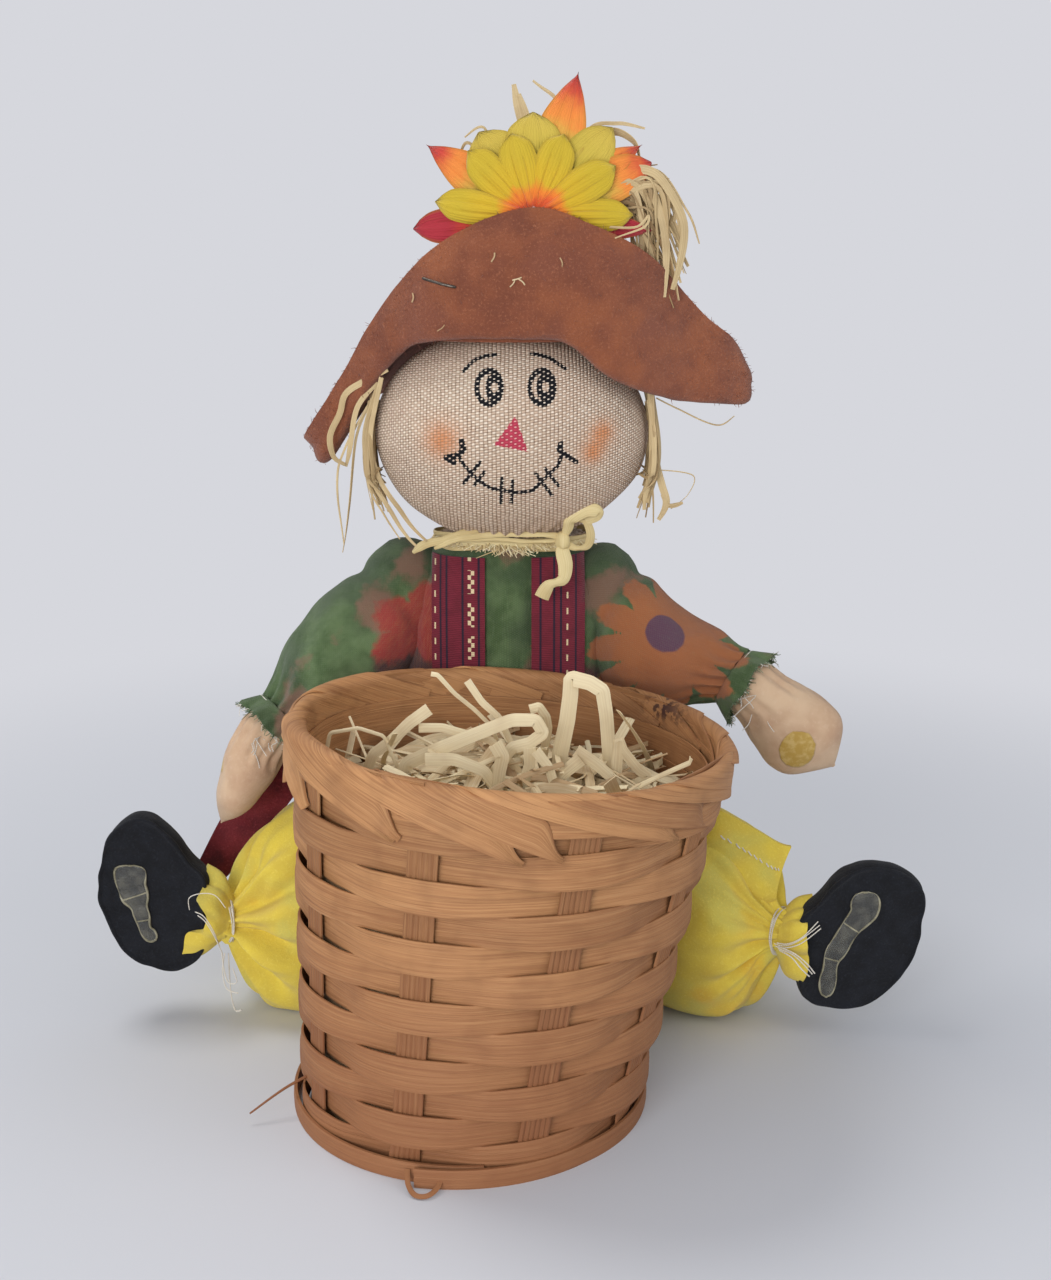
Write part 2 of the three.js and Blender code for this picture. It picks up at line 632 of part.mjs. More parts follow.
// Point of the basket wall: angle round it, share of its height from 0 to 1, and offset outward
function wallPoint(angle, s, offset) {
  const radius = THREE.MathUtils.lerp(BASKET_FOOT_RADIUS, BASKET_TOP_RADIUS, s) + offset;
  const height = s * (BASKET_HEIGHT - BASKET_DROP * radius * Math.cos(angle));
  const middle = basketMiddle(s);
  return vec(middle.x + radius * Math.cos(angle), middle.y + radius * Math.sin(angle), height);
}

function wallUp(angle, s) {
  return wallPoint(angle, s + 0.01, 0).sub(wallPoint(angle, s - 0.01, 0)).normalize();
}

function outwardAt(angle) {
  return vec(Math.cos(angle), Math.sin(angle), 0);
}

function stakeAngle(index) {
  return -Math.PI / 2 - Math.PI / STAKES + (index / STAKES) * 2 * Math.PI;
}

const FLOOR_Z = 2.6;         // middle of the stakes where they cross under the basket
const TURN_UP = 0.05;        // share of the height where the stakes leave the foot and stand up

// Each stake runs in from the wall under the basket to its middle, where all of them cross
function buildStakes() {
  const stakes = [];
  const topShare = 1 - (BORDER_HALF_HEIGHT + GAP) / BASKET_HEIGHT;
  for (let n = 0; n < STAKES; n += 1) {
    const angle = stakeAngle(n);
    const outward = outwardAt(angle);
    const across = vec(-Math.sin(angle), Math.cos(angle), 0);
    const middle = basketMiddle(0);
    const route = [];
    const facing = [];
    for (const reach of [-0.05, 0.5, 0.9]) {
      route.push(middle.clone().addScaledVector(outward, reach * BASKET_FOOT_RADIUS).setZ(FLOOR_Z));
      facing.push(vec(0, 0, -1));
    }
    route.push(wallPoint(angle, TURN_UP, 0).setZ(FLOOR_Z + 1.6));
    facing.push(outward.clone().add(vec(0, 0, -1)).normalize());
    const steps = 4;
    for (let i = 0; i <= steps; i += 1) {
      const s = THREE.MathUtils.lerp(TURN_UP * 1.8, topShare, i / steps);
      route.push(wallPoint(angle, s, 0));
      facing.push(outward);
    }
    const acrossAll = route.map(() => across);
    stakes.push(loft(strip(route, acrossAll, facing, STAKE_WIDTH, STAKE_THICKNESS)));
  }
  addPiece('basket_stakes', join(...stakes), colour.splint, 0.7);
}

// One long splint goes in front of one stake and behind the next, and climbs as it goes round
function buildWeaver() {
  const stepsPerStake = 4;
  const firstShare = (HOOP_HEIGHT + 2 * GAP + WEAVER_WIDTH / 2) / BASKET_HEIGHT;
  const lastShare = 1 - (BORDER_HALF_HEIGHT + GAP + WEAVER_WIDTH / 2) / BASKET_HEIGHT;
  const turns = Math.floor(((lastShare - firstShare) * BASKET_HEIGHT) / WEAVER_PITCH);
  const steps = turns * STAKES * stepsPerStake;
  const [points, across, outward] = [[], [], []];
  for (let i = 0; i <= steps; i += 1) {
    const angle = stakeAngle(i / stepsPerStake);
    const s = THREE.MathUtils.lerp(firstShare, lastShare, i / steps);
    const offset = WEAVE_AMPLITUDE * Math.cos((Math.PI * i) / stepsPerStake);
    points.push(wallPoint(angle, s, offset));
    across.push(wallUp(angle, s));
    outward.push(outwardAt(angle));
  }
  const rings = strip(points, across, outward, WEAVER_WIDTH, WEAVER_THICKNESS);
  addPiece('basket_weaver', loft(rings), colour.splint, 0.7);
}

// A band round the foot, whose loose end has sprung out a little in front
function buildHoop() {
  const steps = 44;
  const lap = 0.35;
  const startAngle = -Math.PI / 2 + 0.1;
  const [points, across, outward] = [[], [], []];
  const inner = STAKE_THICKNESS / 2 + GAP + 1.2 + HOOP_THICKNESS / 2;
  for (let i = 0; i <= steps; i += 1) {
    const t = i / steps;
    const angle = startAngle - t * (2 * Math.PI + lap);
    const spring = t > 0.86 ? ((t - 0.86) / 0.14) * 3.2 : 0;
    const middle = basketMiddle(0);
    const radius = BASKET_FOOT_RADIUS + BASKET_LEAN * 0.05 + inner + spring;
    points.push(middle.addScaledVector(outwardAt(angle), radius).setZ(HOOP_HEIGHT / 2));
    across.push(vec(0, 0, 1));
    outward.push(outwardAt(angle));
  }
  const rings = strip(points, across, outward, HOOP_HEIGHT, HOOP_THICKNESS);
  addPiece('basket_foot_hoop', loft(rings), colour.splint, 0.7);
}

// The border: splints laid slantwise over each other round the top edge, each one a raised lobe
function buildBorder() {
  const steps = BORDER_TURNS * 4;
  const sides = 8;
  const rings = [];
  for (let i = 0; i < steps; i += 1) {
    const angle = (i / steps) * 2 * Math.PI;
    const outward = outwardAt(angle);
    const upward = wallUp(angle, 0.95);
    rings.push(Array.from({ length: sides }, (_, j) => {
      const turn = (j / sides) * 2 * Math.PI;
      const lobe = 1 + BORDER_LOBE * Math.cos(turn * 2 + BORDER_TURNS * angle);
      const point = wallPoint(angle, 1, 0);
      point.addScaledVector(outward, BORDER_HALF_DEPTH * lobe * Math.cos(turn));
      point.addScaledVector(upward, BORDER_HALF_HEIGHT * 0.88 * lobe * Math.sin(turn));
      return point;
    }));
  }
  addPiece('basket_border', loft(rings, true), colour.splint, 0.7);
}

// A mat of splints lies on the crossed stakes and closes the bottom
function buildFloor() {
  const thickness = 1;
  const radius = BASKET_FOOT_RADIUS - WEAVE_AMPLITUDE - 3;
  const floor = new THREE.CylinderGeometry(radius, radius, thickness, 36);
  floor.rotateX(Math.PI / 2);
  const middle = basketMiddle(0);
  floor.translate(middle.x, middle.y, FLOOR_Z + STAKE_THICKNESS / 2 + GAP + thickness / 2);
  addPiece('basket_floor', floor, colour.splint, 0.7);
}

// Packed straw that fills the basket nearly to its border, with bent ribbons standing out of it
function buildStraw() {
  const wall = WEAVE_AMPLITUDE + WEAVER_THICKNESS / 2 + 0.9;
  const bottom = FLOOR_Z + STAKE_THICKNESS / 2 + GAP + 1 + GAP;
  const sides = 26;
  const share = (z) => z / BASKET_HEIGHT;
  const heights = [0, 0.4, 0.75, 1].map((t) => THREE.MathUtils.lerp(bottom, STRAW_LEVEL, t));
  const rings = heights.map((z) => {
    const s = share(z);
    const middle = basketMiddle(s);
    const radius = THREE.MathUtils.lerp(BASKET_FOOT_RADIUS, BASKET_TOP_RADIUS, s) - wall;
    return oblong(z, radius, radius, middle.x, middle.y, sides, 2);
  });
  // The mound of loose straw on top is lumpy all over
  const top = basketMiddle(share(STRAW_LEVEL));
  for (const reach of [0.86, 0.64, 0.4, 0.16]) {
    const radius = (BASKET_TOP_RADIUS - 8) * reach;
    const ring = oblong(STRAW_LEVEL + STRAW_MOUND * (1 - reach ** 2), radius, radius, top.x, top.y, sides, 2);
    ring.forEach((point, j) => { point.z += STRAW_LUMP * scatter(j, reach * 10) * (reach > 0.2 ? 1 : 0.3); });
    rings.push(ring);
  }
  const ribbons = STRAW_RIBBONS.map(([route, facing]) => {
    const points = route.map(([x, back, up]) => [x, BASKET_Y + back, STRAW_LEVEL + up]);
    return strand(points, 5, 0.9, facing, 5);
  });
  addPiece('straw_fill', join(loft(rings), ...ribbons), colour.straw);
}

const STRAW_LUMP = 2.2;      // how much the mound's surface goes up and down

// Routes of the ribbons of straw that stand out of the fill, chosen by hand: across and back from the
// middle of the basket's top, and up from the straw's level at the wall
const STRAW_RIBBONS = [
  [[[19, 11.5, -10], [16.6, 11.5, 14], [19.5, 11.5, 36], [26, 12.5, 41.5], [31.5, 13.5, 35], [34, 13.5, 4]],
    [0, 1, 0]],
  [[[4, 11.5, -4], [-6, 16.5, 23], [-15, 17.5, 32], [-26, 17.5, 42]], [0.3, 1, 0]],
  [[[-52, 2.5, -6], [-45, 4.5, 17], [-35, 5.5, 27], [-27, 6.5, 33]], [0.2, 1, 0.4]],
  [[[-38, 0.5, 0], [-22, 1.5, 20], [-3, 3.5, 29], [8, 3.5, 29], [10, 2.5, 12]], [0, 1, 0.4]],
  [[[36, 5.5, 0], [36, 5.5, 22], [43, 2.5, 11], [45, 2.5, 0]], [0.2, 1, 0]],
];

// Head and hat
function buildHead() {
  const rings = [];
  const steps = 12;
  const lowest = -Math.acos(0.24);
  for (let i = 0; i < steps; i += 1) {
    const angle = THREE.MathUtils.lerp(lowest, Math.PI / 2 - 0.12, i / (steps - 1));
    const z = Math.max(HEAD_Z + HEAD_HALF_HEIGHT * Math.sin(angle), HEAD_BOTTOM);
    const wide = Math.cos(angle);
    rings.push(oblong(z, HEAD_HALF_WIDTH * wide, HEAD_HALF_DEPTH * wide, HEAD_X, HEAD_Y, 24, 2.05));
  }
  addPiece('head', loft(rings), colour.burlap);
}

// The dome of the hat stands on the head and is hollow where the head fills it
function buildCrown() {
  const middle = [HAT_X, HEAD_Y, CROWN_RIM_Z];
  const dome = ellipsoid(middle, [CROWN_HALF_WIDTH, CROWN_HALF_DEPTH, CROWN_HEIGHT], 22, 12);
  const position = dome.attributes.position;
  for (let i = 0; i < position.count; i += 1) position.setZ(i, Math.max(position.getZ(i), CROWN_RIM_Z - 1));
  const room = 0.6;
  const halves = [HEAD_HALF_WIDTH + room, HEAD_HALF_DEPTH + room, HEAD_HALF_HEIGHT + room];
  addPiece('hat_crown', cut(dome, ellipsoid([HEAD_X, HEAD_Y, HEAD_Z], halves, 22, 14)), colour.felt);
}

// The brim is one felt ring. In front it turns up at a fold, and at the sides it runs out to two tips.
// Each row holds a point of the fold line and, across from it, a point of the free edge, with heights
// from the crown's rim.
const BRIM = [
  [[0, -52, 1], [6, -49, 44]],
  [[18, -51, 0.5], [28, -48, 38]],
  [[37, -46, -13.5], [48, -43, 27]],
  [[58, -36, -19.5], [65, -33, 8]],
  [[73, -22, -18], [80, -20, -9]],
  [[56, 4, -14], [72, 8, -18]],
  [[32, 24, -11], [40, 36, -18]],
  [[0, 30, -10], [0, 44, -20]],
  [[-31, 24, -12], [-40, 36, -22]],
  [[-51, 4, -19], [-66, 6, -30]],
  [[-63, -18, -38], [-70.5, -18, -33]],
  [[-52, -30, -19], [-59, -29, -13]],
  [[-38, -39, -4], [-43, -38, 13]],
  [[-20, -49, 0.5], [-23, -47, 33]],
];

function buildBrim() {
  const [fold, edge] = [0, 1].map((k) => {
    const points = BRIM.map((row) => vec(...row[k]).add(vec(0, 0, CROWN_RIM_Z)));
    return new THREE.CatmullRomCurve3(points, true);
  });
  const steps = 42;
  const rows = [];
  for (let i = 0; i < steps; i += 1) {
    const onFold = fold.getPoint(i / steps);
    const onEdge = edge.getPoint(i / steps);
    const [dx, dy] = [(onFold.x - HAT_X) / CROWN_HALF_WIDTH, (onFold.y - HEAD_Y) / CROWN_HALF_DEPTH];
    const reach = Math.hypot(dx, dy);
    const clear = 1 + (GAP + 0.4) / CROWN_HALF_DEPTH;
    const [spanX, spanY] = [CROWN_HALF_WIDTH, CROWN_HALF_DEPTH].map((half) => (half * clear) / reach);
    const inner = vec(HAT_X + spanX * dx, HEAD_Y + spanY * dy, CROWN_RIM_Z + FELT / 2);
    const between = onFold.clone().lerp(onEdge, 0.5);
    between.y -= 1.2 * Math.max(0, -onFold.y / 50);
    rows.push([inner, onFold, between, onEdge]);
  }
  const count = rows[0].length;
  const normalAt = (i, j) => {
    const ahead = rows[(i + 1) % steps][j].clone().sub(rows[(i + steps - 1) % steps][j]);
    const over = rows[i][Math.min(j + 1, count - 1)].clone().sub(rows[i][Math.max(j - 1, 0)]);
    return ahead.cross(over).normalize().multiplyScalar(FELT / 2);
  };
  const rings = rows.map((row, i) => {
    const above = row.map((p, j) => p.clone().add(normalAt(i, j)));
    const below = row.map((p, j) => p.clone().sub(normalAt(i, j))).reverse();
    return [...above, ...below];
  });
  addPiece('hat_brim', loft(rings, true), colour.felt);
}

// A wire staple closes the turned-up brim
function buildStaple() {
  const front = -50.9;
  const route = [[-29.5, 0, 20.4], [-24, -0.5, 18.9], [-19, -0.2, 17.9]];
  const points = route.map(([x, y, z]) => [x, front + y, CROWN_RIM_Z + z]);
  const staple = strand(points, 1, 0.7, [0, 1, 0], 3);
  addPiece('hat_staple', staple, colour.steel, 0.4, 0.9);
}

// Flower: a layer of pointed petals behind and a layer of rounded petals in front.
// Each layer is one sheet that reaches furthest along the middle of each petal.
function petalSheet(petals, length, halfAngle, depth, pointed) {
  const [cx, cy, cz] = FLOWER_CENTRE;
  const spread = [-0.96, -0.6, -0.25, 0, 0.25, 0.6];
  const turns = petals.flatMap(([degrees]) => spread.map((k) => degrees + k * halfAngle));
  for (let degrees = 205; degrees < 330; degrees += 25) turns.push(degrees);
  turns.sort((p, q) => p - q);
  const reachAt = (degrees) => Math.max(PETAL_HEART, ...petals.map(([middle, share]) => {
    const off = Math.abs(degrees - middle) / halfAngle;
    if (off >= 1) return 0;
    return length * share * (pointed ? 1 - 0.75 * off ** 1.1 : 0.45 + 0.55 * Math.sqrt(1 - off * off));
  }));
  const ringAt = (share, face) => turns.map((degrees) => {
    const turn = THREE.MathUtils.degToRad(degrees);
    const reach = reachAt(degrees) * share;
    const lean = PETAL_CUP * reach * reach + (face * PETAL_THICKNESS) / 2;
    return vec(cx + reach * Math.cos(turn), cy + depth + lean, cz + reach * Math.sin(turn));
  });
  const shares = [0.15, 0.6, 1];
  const front = shares.map((share) => ringAt(share, -1));
  const back = shares.map((share) => ringAt(share, 1)).reverse();
  return loft([...front, ...back]);
}

function buildFlower() {
  const outer = [
    [-12, 0.9], [25, 0.93], [50, 0.78], [76, 1.1], [103, 0.72], [128, 0.75], [151, 1.0], [187, 1.02],
  ];
  const inner = [[4, 0.85], [32, 0.95], [60, 1], [88, 1.05], [116, 1.02], [144, 0.98], [172, 0.9]];
  const behind = PETAL_THICKNESS + GAP;
  addPiece('flower_outer_petals', petalSheet(outer, OUTER_PETAL_LENGTH, 15, behind, true), colour.petal);
  addPiece('flower_inner_petals', petalSheet(inner, INNER_PETAL_LENGTH, 14, 0, false), colour.petalInner);
}

// Loose raffia behind the flower, tied in one knot
function buildHatRaffia() {
  const knot = [20, FLOWER_CENTRE[1] + PETAL_THICKNESS * 1.5 + 2 * GAP + 4.2, FLOWER_CENTRE[2] - 4];
  const strands = [];
  const count = 11;
  for (let n = 0; n < count; n += 1) {
    const turn = THREE.MathUtils.degToRad(130 - (150 * n) / (count - 1) + 5 * scatter(n, 1));
    const reach = 40 + 6 * scatter(n, 2);
    const droop = 14 * Math.max(0, Math.cos(turn)) + 4 * scatter(n, 3);
    const [dx, dz] = [reach * Math.cos(turn), reach * Math.sin(turn)];
    const middle = [knot[0] + 0.55 * dx, knot[1] + 3 + 3 * scatter(n, 4), knot[2] + 0.6 * dz];
    const tip = [knot[0] + dx, knot[1] + 5 + 6 * scatter(n, 5), knot[2] + dz - droop];
    strands.push(strand([knot, middle, tip], 2.4, 0.9, [0.2 * scatter(n, 6), 1, 0.1], 3));
  }
  addPiece('hat_raffia', join(ellipsoid(knot, [7, 4, 6], 10, 6), ...strands), colour.straw);
}

// Hair: strands of raffia that come out from under the hat beside each cheek
function buildHair(side) {
  const sign = side === 'left' ? -1 : 1;
  const root = [HEAD_X + sign * (HEAD_HALF_WIDTH + 2), HEAD_Y - 2, HEAD_Z + 4.4];
  const strands = [];
  const count = 7;
  for (let n = 0; n < count; n += 1) {
    const spread = (n / (count - 1)) * 2 - 1;
    const y = HEAD_Y - 2 + 15 * spread;
    const out = HEAD_HALF_WIDTH + 3.5 + 2.5 * scatter(n, 7);
    const length = HAIR_LENGTH + 8 * scatter(n, 8);
    const fall = [
      [HEAD_HALF_WIDTH + 3, HEAD_Y - 2 + 8 * spread, -1], [out, y, -8],
      [out + 1, y + 2 * scatter(n, 9), -17], [out - 1 + 5 * scatter(n, 10), y, 12 - length],
    ];
    const route = [root, ...fall.map(([reach, back, height]) => [sign * reach, back, HEAD_Z + height])];
    strands.push(strand(route, 2.2, 0.9, [sign, 0.15 * scatter(n, 11), 0], 5));
  }
  addPiece(`${side}_hair`, join(ellipsoid(root, [2.2, 8, 2.6], 8, 6), ...strands), colour.straw);
}

buildSeat();
buildTorso();
buildNeck();
buildNeckTie();
for (const [side, x] of [['left', -19.7], ['right', 16.5]]) {
  buildSuspender(`${side}_suspender`, x, -1);
  buildSuspender(`${side}_suspender_back`, x, 1);
}
buildArm('left');
buildArm('right');
buildLeg('left');
buildLeg('right');
buildLegTrim();
buildStakes();
buildWeaver();
buildHoop();
buildBorder();
buildFloor();
buildStraw();
buildHead();
buildCrown();
buildBrim();
buildStaple();
buildFlower();
buildHatRaffia();
buildHair('left');
buildHair('right');

export default doll;
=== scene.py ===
# A seated scarecrow doll that holds a woven splint basket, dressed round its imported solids.
# Sizes are millimetres in the doll's own frame, and turn into metres where a mesh is made.

import math

import bmesh
import bpy
import numpy as np
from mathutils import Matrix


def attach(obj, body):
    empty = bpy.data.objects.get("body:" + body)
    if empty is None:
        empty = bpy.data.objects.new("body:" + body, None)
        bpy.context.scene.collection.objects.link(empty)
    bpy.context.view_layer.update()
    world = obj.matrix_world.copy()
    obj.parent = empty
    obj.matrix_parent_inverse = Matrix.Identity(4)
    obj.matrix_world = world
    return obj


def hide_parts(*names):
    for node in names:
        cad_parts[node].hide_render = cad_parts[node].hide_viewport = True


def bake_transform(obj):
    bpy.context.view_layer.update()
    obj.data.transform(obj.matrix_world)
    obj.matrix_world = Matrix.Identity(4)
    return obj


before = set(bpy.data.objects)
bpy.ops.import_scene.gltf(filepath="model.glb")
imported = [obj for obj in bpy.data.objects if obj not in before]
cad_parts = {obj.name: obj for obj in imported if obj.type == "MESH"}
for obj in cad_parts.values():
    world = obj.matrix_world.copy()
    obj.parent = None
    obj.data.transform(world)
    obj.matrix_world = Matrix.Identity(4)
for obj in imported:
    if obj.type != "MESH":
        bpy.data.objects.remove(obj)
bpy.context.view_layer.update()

MM = 0.001
TURN = 2 * math.pi
GAP = 0.35                   # clearance between pieces that touch

# Camera, worked out from the photograph's perspective
CAMERA_AT = (5, -641, 290)
CAMERA_DOWN = 13.5           # degrees below level
CAMERA_LENS = 47.8           # millimetres on a sensor 36 high

# Stuffed seat, shirt body and neck
SEAT_HALF = (34, 30)
SEAT_HEIGHT = 64
TORSO_HALF = (36, 29)
TORSO_LOW, TORSO_TOP = SEAT_HEIGHT + GAP, 176
TORSO_X = -2
TORSO_POWER = 2.4            # squareness of the shirt's level sections
SUSPENDER_WIDTH = 20
SUSPENDER_X = {"left": -20, "right": 17.2}
NECK_HALF = (28, 18)
NECK_HEIGHT = 4.6
NECK_Y = -12

# Head
HEAD_HALF = (50, 40, 39)
HEAD_AT = (-0.4, -18, TORSO_TOP + NECK_HEIGHT + 2 * GAP + HEAD_HALF[2] - 1.2)
HEAD_BOTTOM = TORSO_TOP + NECK_HEIGHT + 2 * GAP
WEAVER_THICKNESS = 0.8
WEAVER_ROWS = 13
WEAVE = 2.9                  # over one thread and under the next of the burlap

# Arms
SHOULDER_RADIUS = 16
SLEEVE_SWELL = 22
SLEEVE_RISE = {"left": -0.5, "right": -11}   # of the middle of a sleeve above the line between its ends
SHOULDER_HIGH = {"left": 21, "right": 17}   # half height of a sleeve where it starts
SLEEVE_END_RADIUS = 11.5
CUFF_RADIUS = 15
CUFF_WIDTH = 9
CUFF_SETBACK = 1.5
HAND_LENGTH = 41
SHOULDER_Y, WRIST_Y = -2, -28
ARMS = {
    "left": {"shoulder": (-37, 158), "wrist": (-93, 106), "tip": (-110, 69)},
    "right": {"shoulder": (34, 158), "wrist": (91, 123), "tip": (124, 99)},
}

# Legs
HIP = {"left": (-29, -4, 34), "right": (29, -4, 34)}
HIP_RADIUS = 21.5
LEG_SWELL_HEIGHT = 42
LEG_SWELL_DEPTH = 30
HEM_RADIUS = 19
HEM_LENGTH = 17
LEG_CLEARANCE = 0.6
SHOE_HALF_DEPTH = 13
TAIL_WIDTH = 13
LEGS = {
    "left": {"ankle": (-108, -42, 38), "shoe": (-136, -43, 47.5), "half": (19.5, 31), "lean": 0.08},
    "right": {"ankle": (100, -54, 38), "shoe": (128, -56, 36), "half": (21.5, 28.5), "lean": -0.2},
}

# Basket
STAKES = 9
STAKE_WIDTH, STAKE_THICKNESS = 10, 0.9
WEAVE_AMPLITUDE = 1.95
BASKET_TOP_RADIUS, BASKET_FOOT_RADIUS = 70.5, 57
BASKET_HEIGHT = 126
BASKET_LEAN = 14
BASKET_DROP = 0.075
BORDER_HALF_HEIGHT, BORDER_HALF_DEPTH = 7.2, 2.7
HOOP_HEIGHT, HOOP_THICKNESS = 6.5, 1.1
FLOOR_Z = 2.6
STRAW_LEVEL = 104            # where the straw meets the wall
BASKET_Y = -(TORSO_HALF[1] + 1 + BORDER_HALF_DEPTH * 1.13 + BASKET_TOP_RADIUS)

# Hat and flower
CROWN_HALF = (38, 31)
STRAW_MOUND = 11             # how much higher it is in the middle
CROWN_RIM_Z, CROWN_HEIGHT = HEAD_AT[2] + 34.9, 33
HAT_X = 1
FELT = 2.0
FLOWER_AT = (7.6, -46.4, 295.4)


# Numbers and lines

def unit(v):
    """Directions of length 1."""
    return v / np.maximum(np.linalg.norm(v, axis=-1, keepdims=True), 1e-9)


def spline(values, t):
    """A smooth line through values spaced evenly from 0 to 1, at each t."""
    values = np.asarray(values, float)
    last = len(values) - 1
    place = np.clip(np.asarray(t, float), 0, 1) * last
    k = np.minimum(np.floor(place).astype(int), last - 1)
    w = place - k
    a, b, c, d = (values[np.clip(k + step, 0, last)] for step in (-1, 0, 1, 2))
    w = w.reshape(w.shape + (1,) * (values.ndim - 1))
    return b + 0.5 * w * (c - a + w * (2 * a - 5 * b + 4 * c - d + w * (3 * (b - c) + d - a)))


def closed_spline(values, t):
    """The same line, joined end to start."""
    values = np.asarray(values, float)
    count = len(values)
    wrapped = values[np.arange(-2, count + 3) % count]
    return spline(wrapped, (np.asarray(t) * count + 2) / (count + 4))


def step(t, low, high):
    """Rises smoothly from 0 at low to 1 at high."""
    x = np.clip((t - low) / (high - low), 0, 1)
    return x * x * (3 - 2 * x)


def scatter(cell, seed):
    """Repeatable numbers from -1 to 1, one for each cell."""
    n = np.sin(cell @ np.array([127.1, 311.7, 74.7]) + 53.3 * seed) * 43758.5453
    return 2 * (n - np.floor(n)) - 1


def noise(points, size, seed=0, layers=1):
    """Smooth repeatable noise from -1 to 1, with bumps of about that size in millimetres."""
    total, weight = 0.0, 1.0
    for layer in range(layers):
        place = np.asarray(points, float) / (size / 2 ** layer)
        low = np.floor(place)
        f = place - low
        f = f * f * (3 - 2 * f)
        for corner in np.ndindex(2, 2, 2):
            share = np.prod(np.where(corner, f, 1 - f), axis=-1)
            total = total + weight * share * scatter(low + np.array(corner), seed + 7 * layer)
        weight /= 2
    return total


def rand(seed):
    return np.random.default_rng(seed)


def frames(path, hint=(0, 0, 1)):
    """Along, side and up directions at each point of a path, turned as little as may be."""
    along = unit(np.gradient(path, axis=0))
    side = np.zeros_like(along)
    guess = np.cross(along[0], hint)
    if np.linalg.norm(guess) < 1e-3:
        guess = np.cross(along[0], (1, 0, 0))
    for i, tangent in enumerate(along):
        guess = guess - tangent * (guess @ tangent)
        side[i] = guess = guess / np.linalg.norm(guess)
    return along, side, np.cross(side, along)


def away(rows, wrap=True):
    """Directions that point out of a row of rings."""
    across = np.roll(rows, -1, 1) - np.roll(rows, 1, 1) if wrap else np.gradient(rows, axis=1)
    normals = unit(np.cross(across, np.gradient(rows, axis=0)))
    outward = rows - rows.mean(axis=1, keepdims=True)
    return normals * (1 if (normals * outward).sum() > 0 else -1)


# Meshes

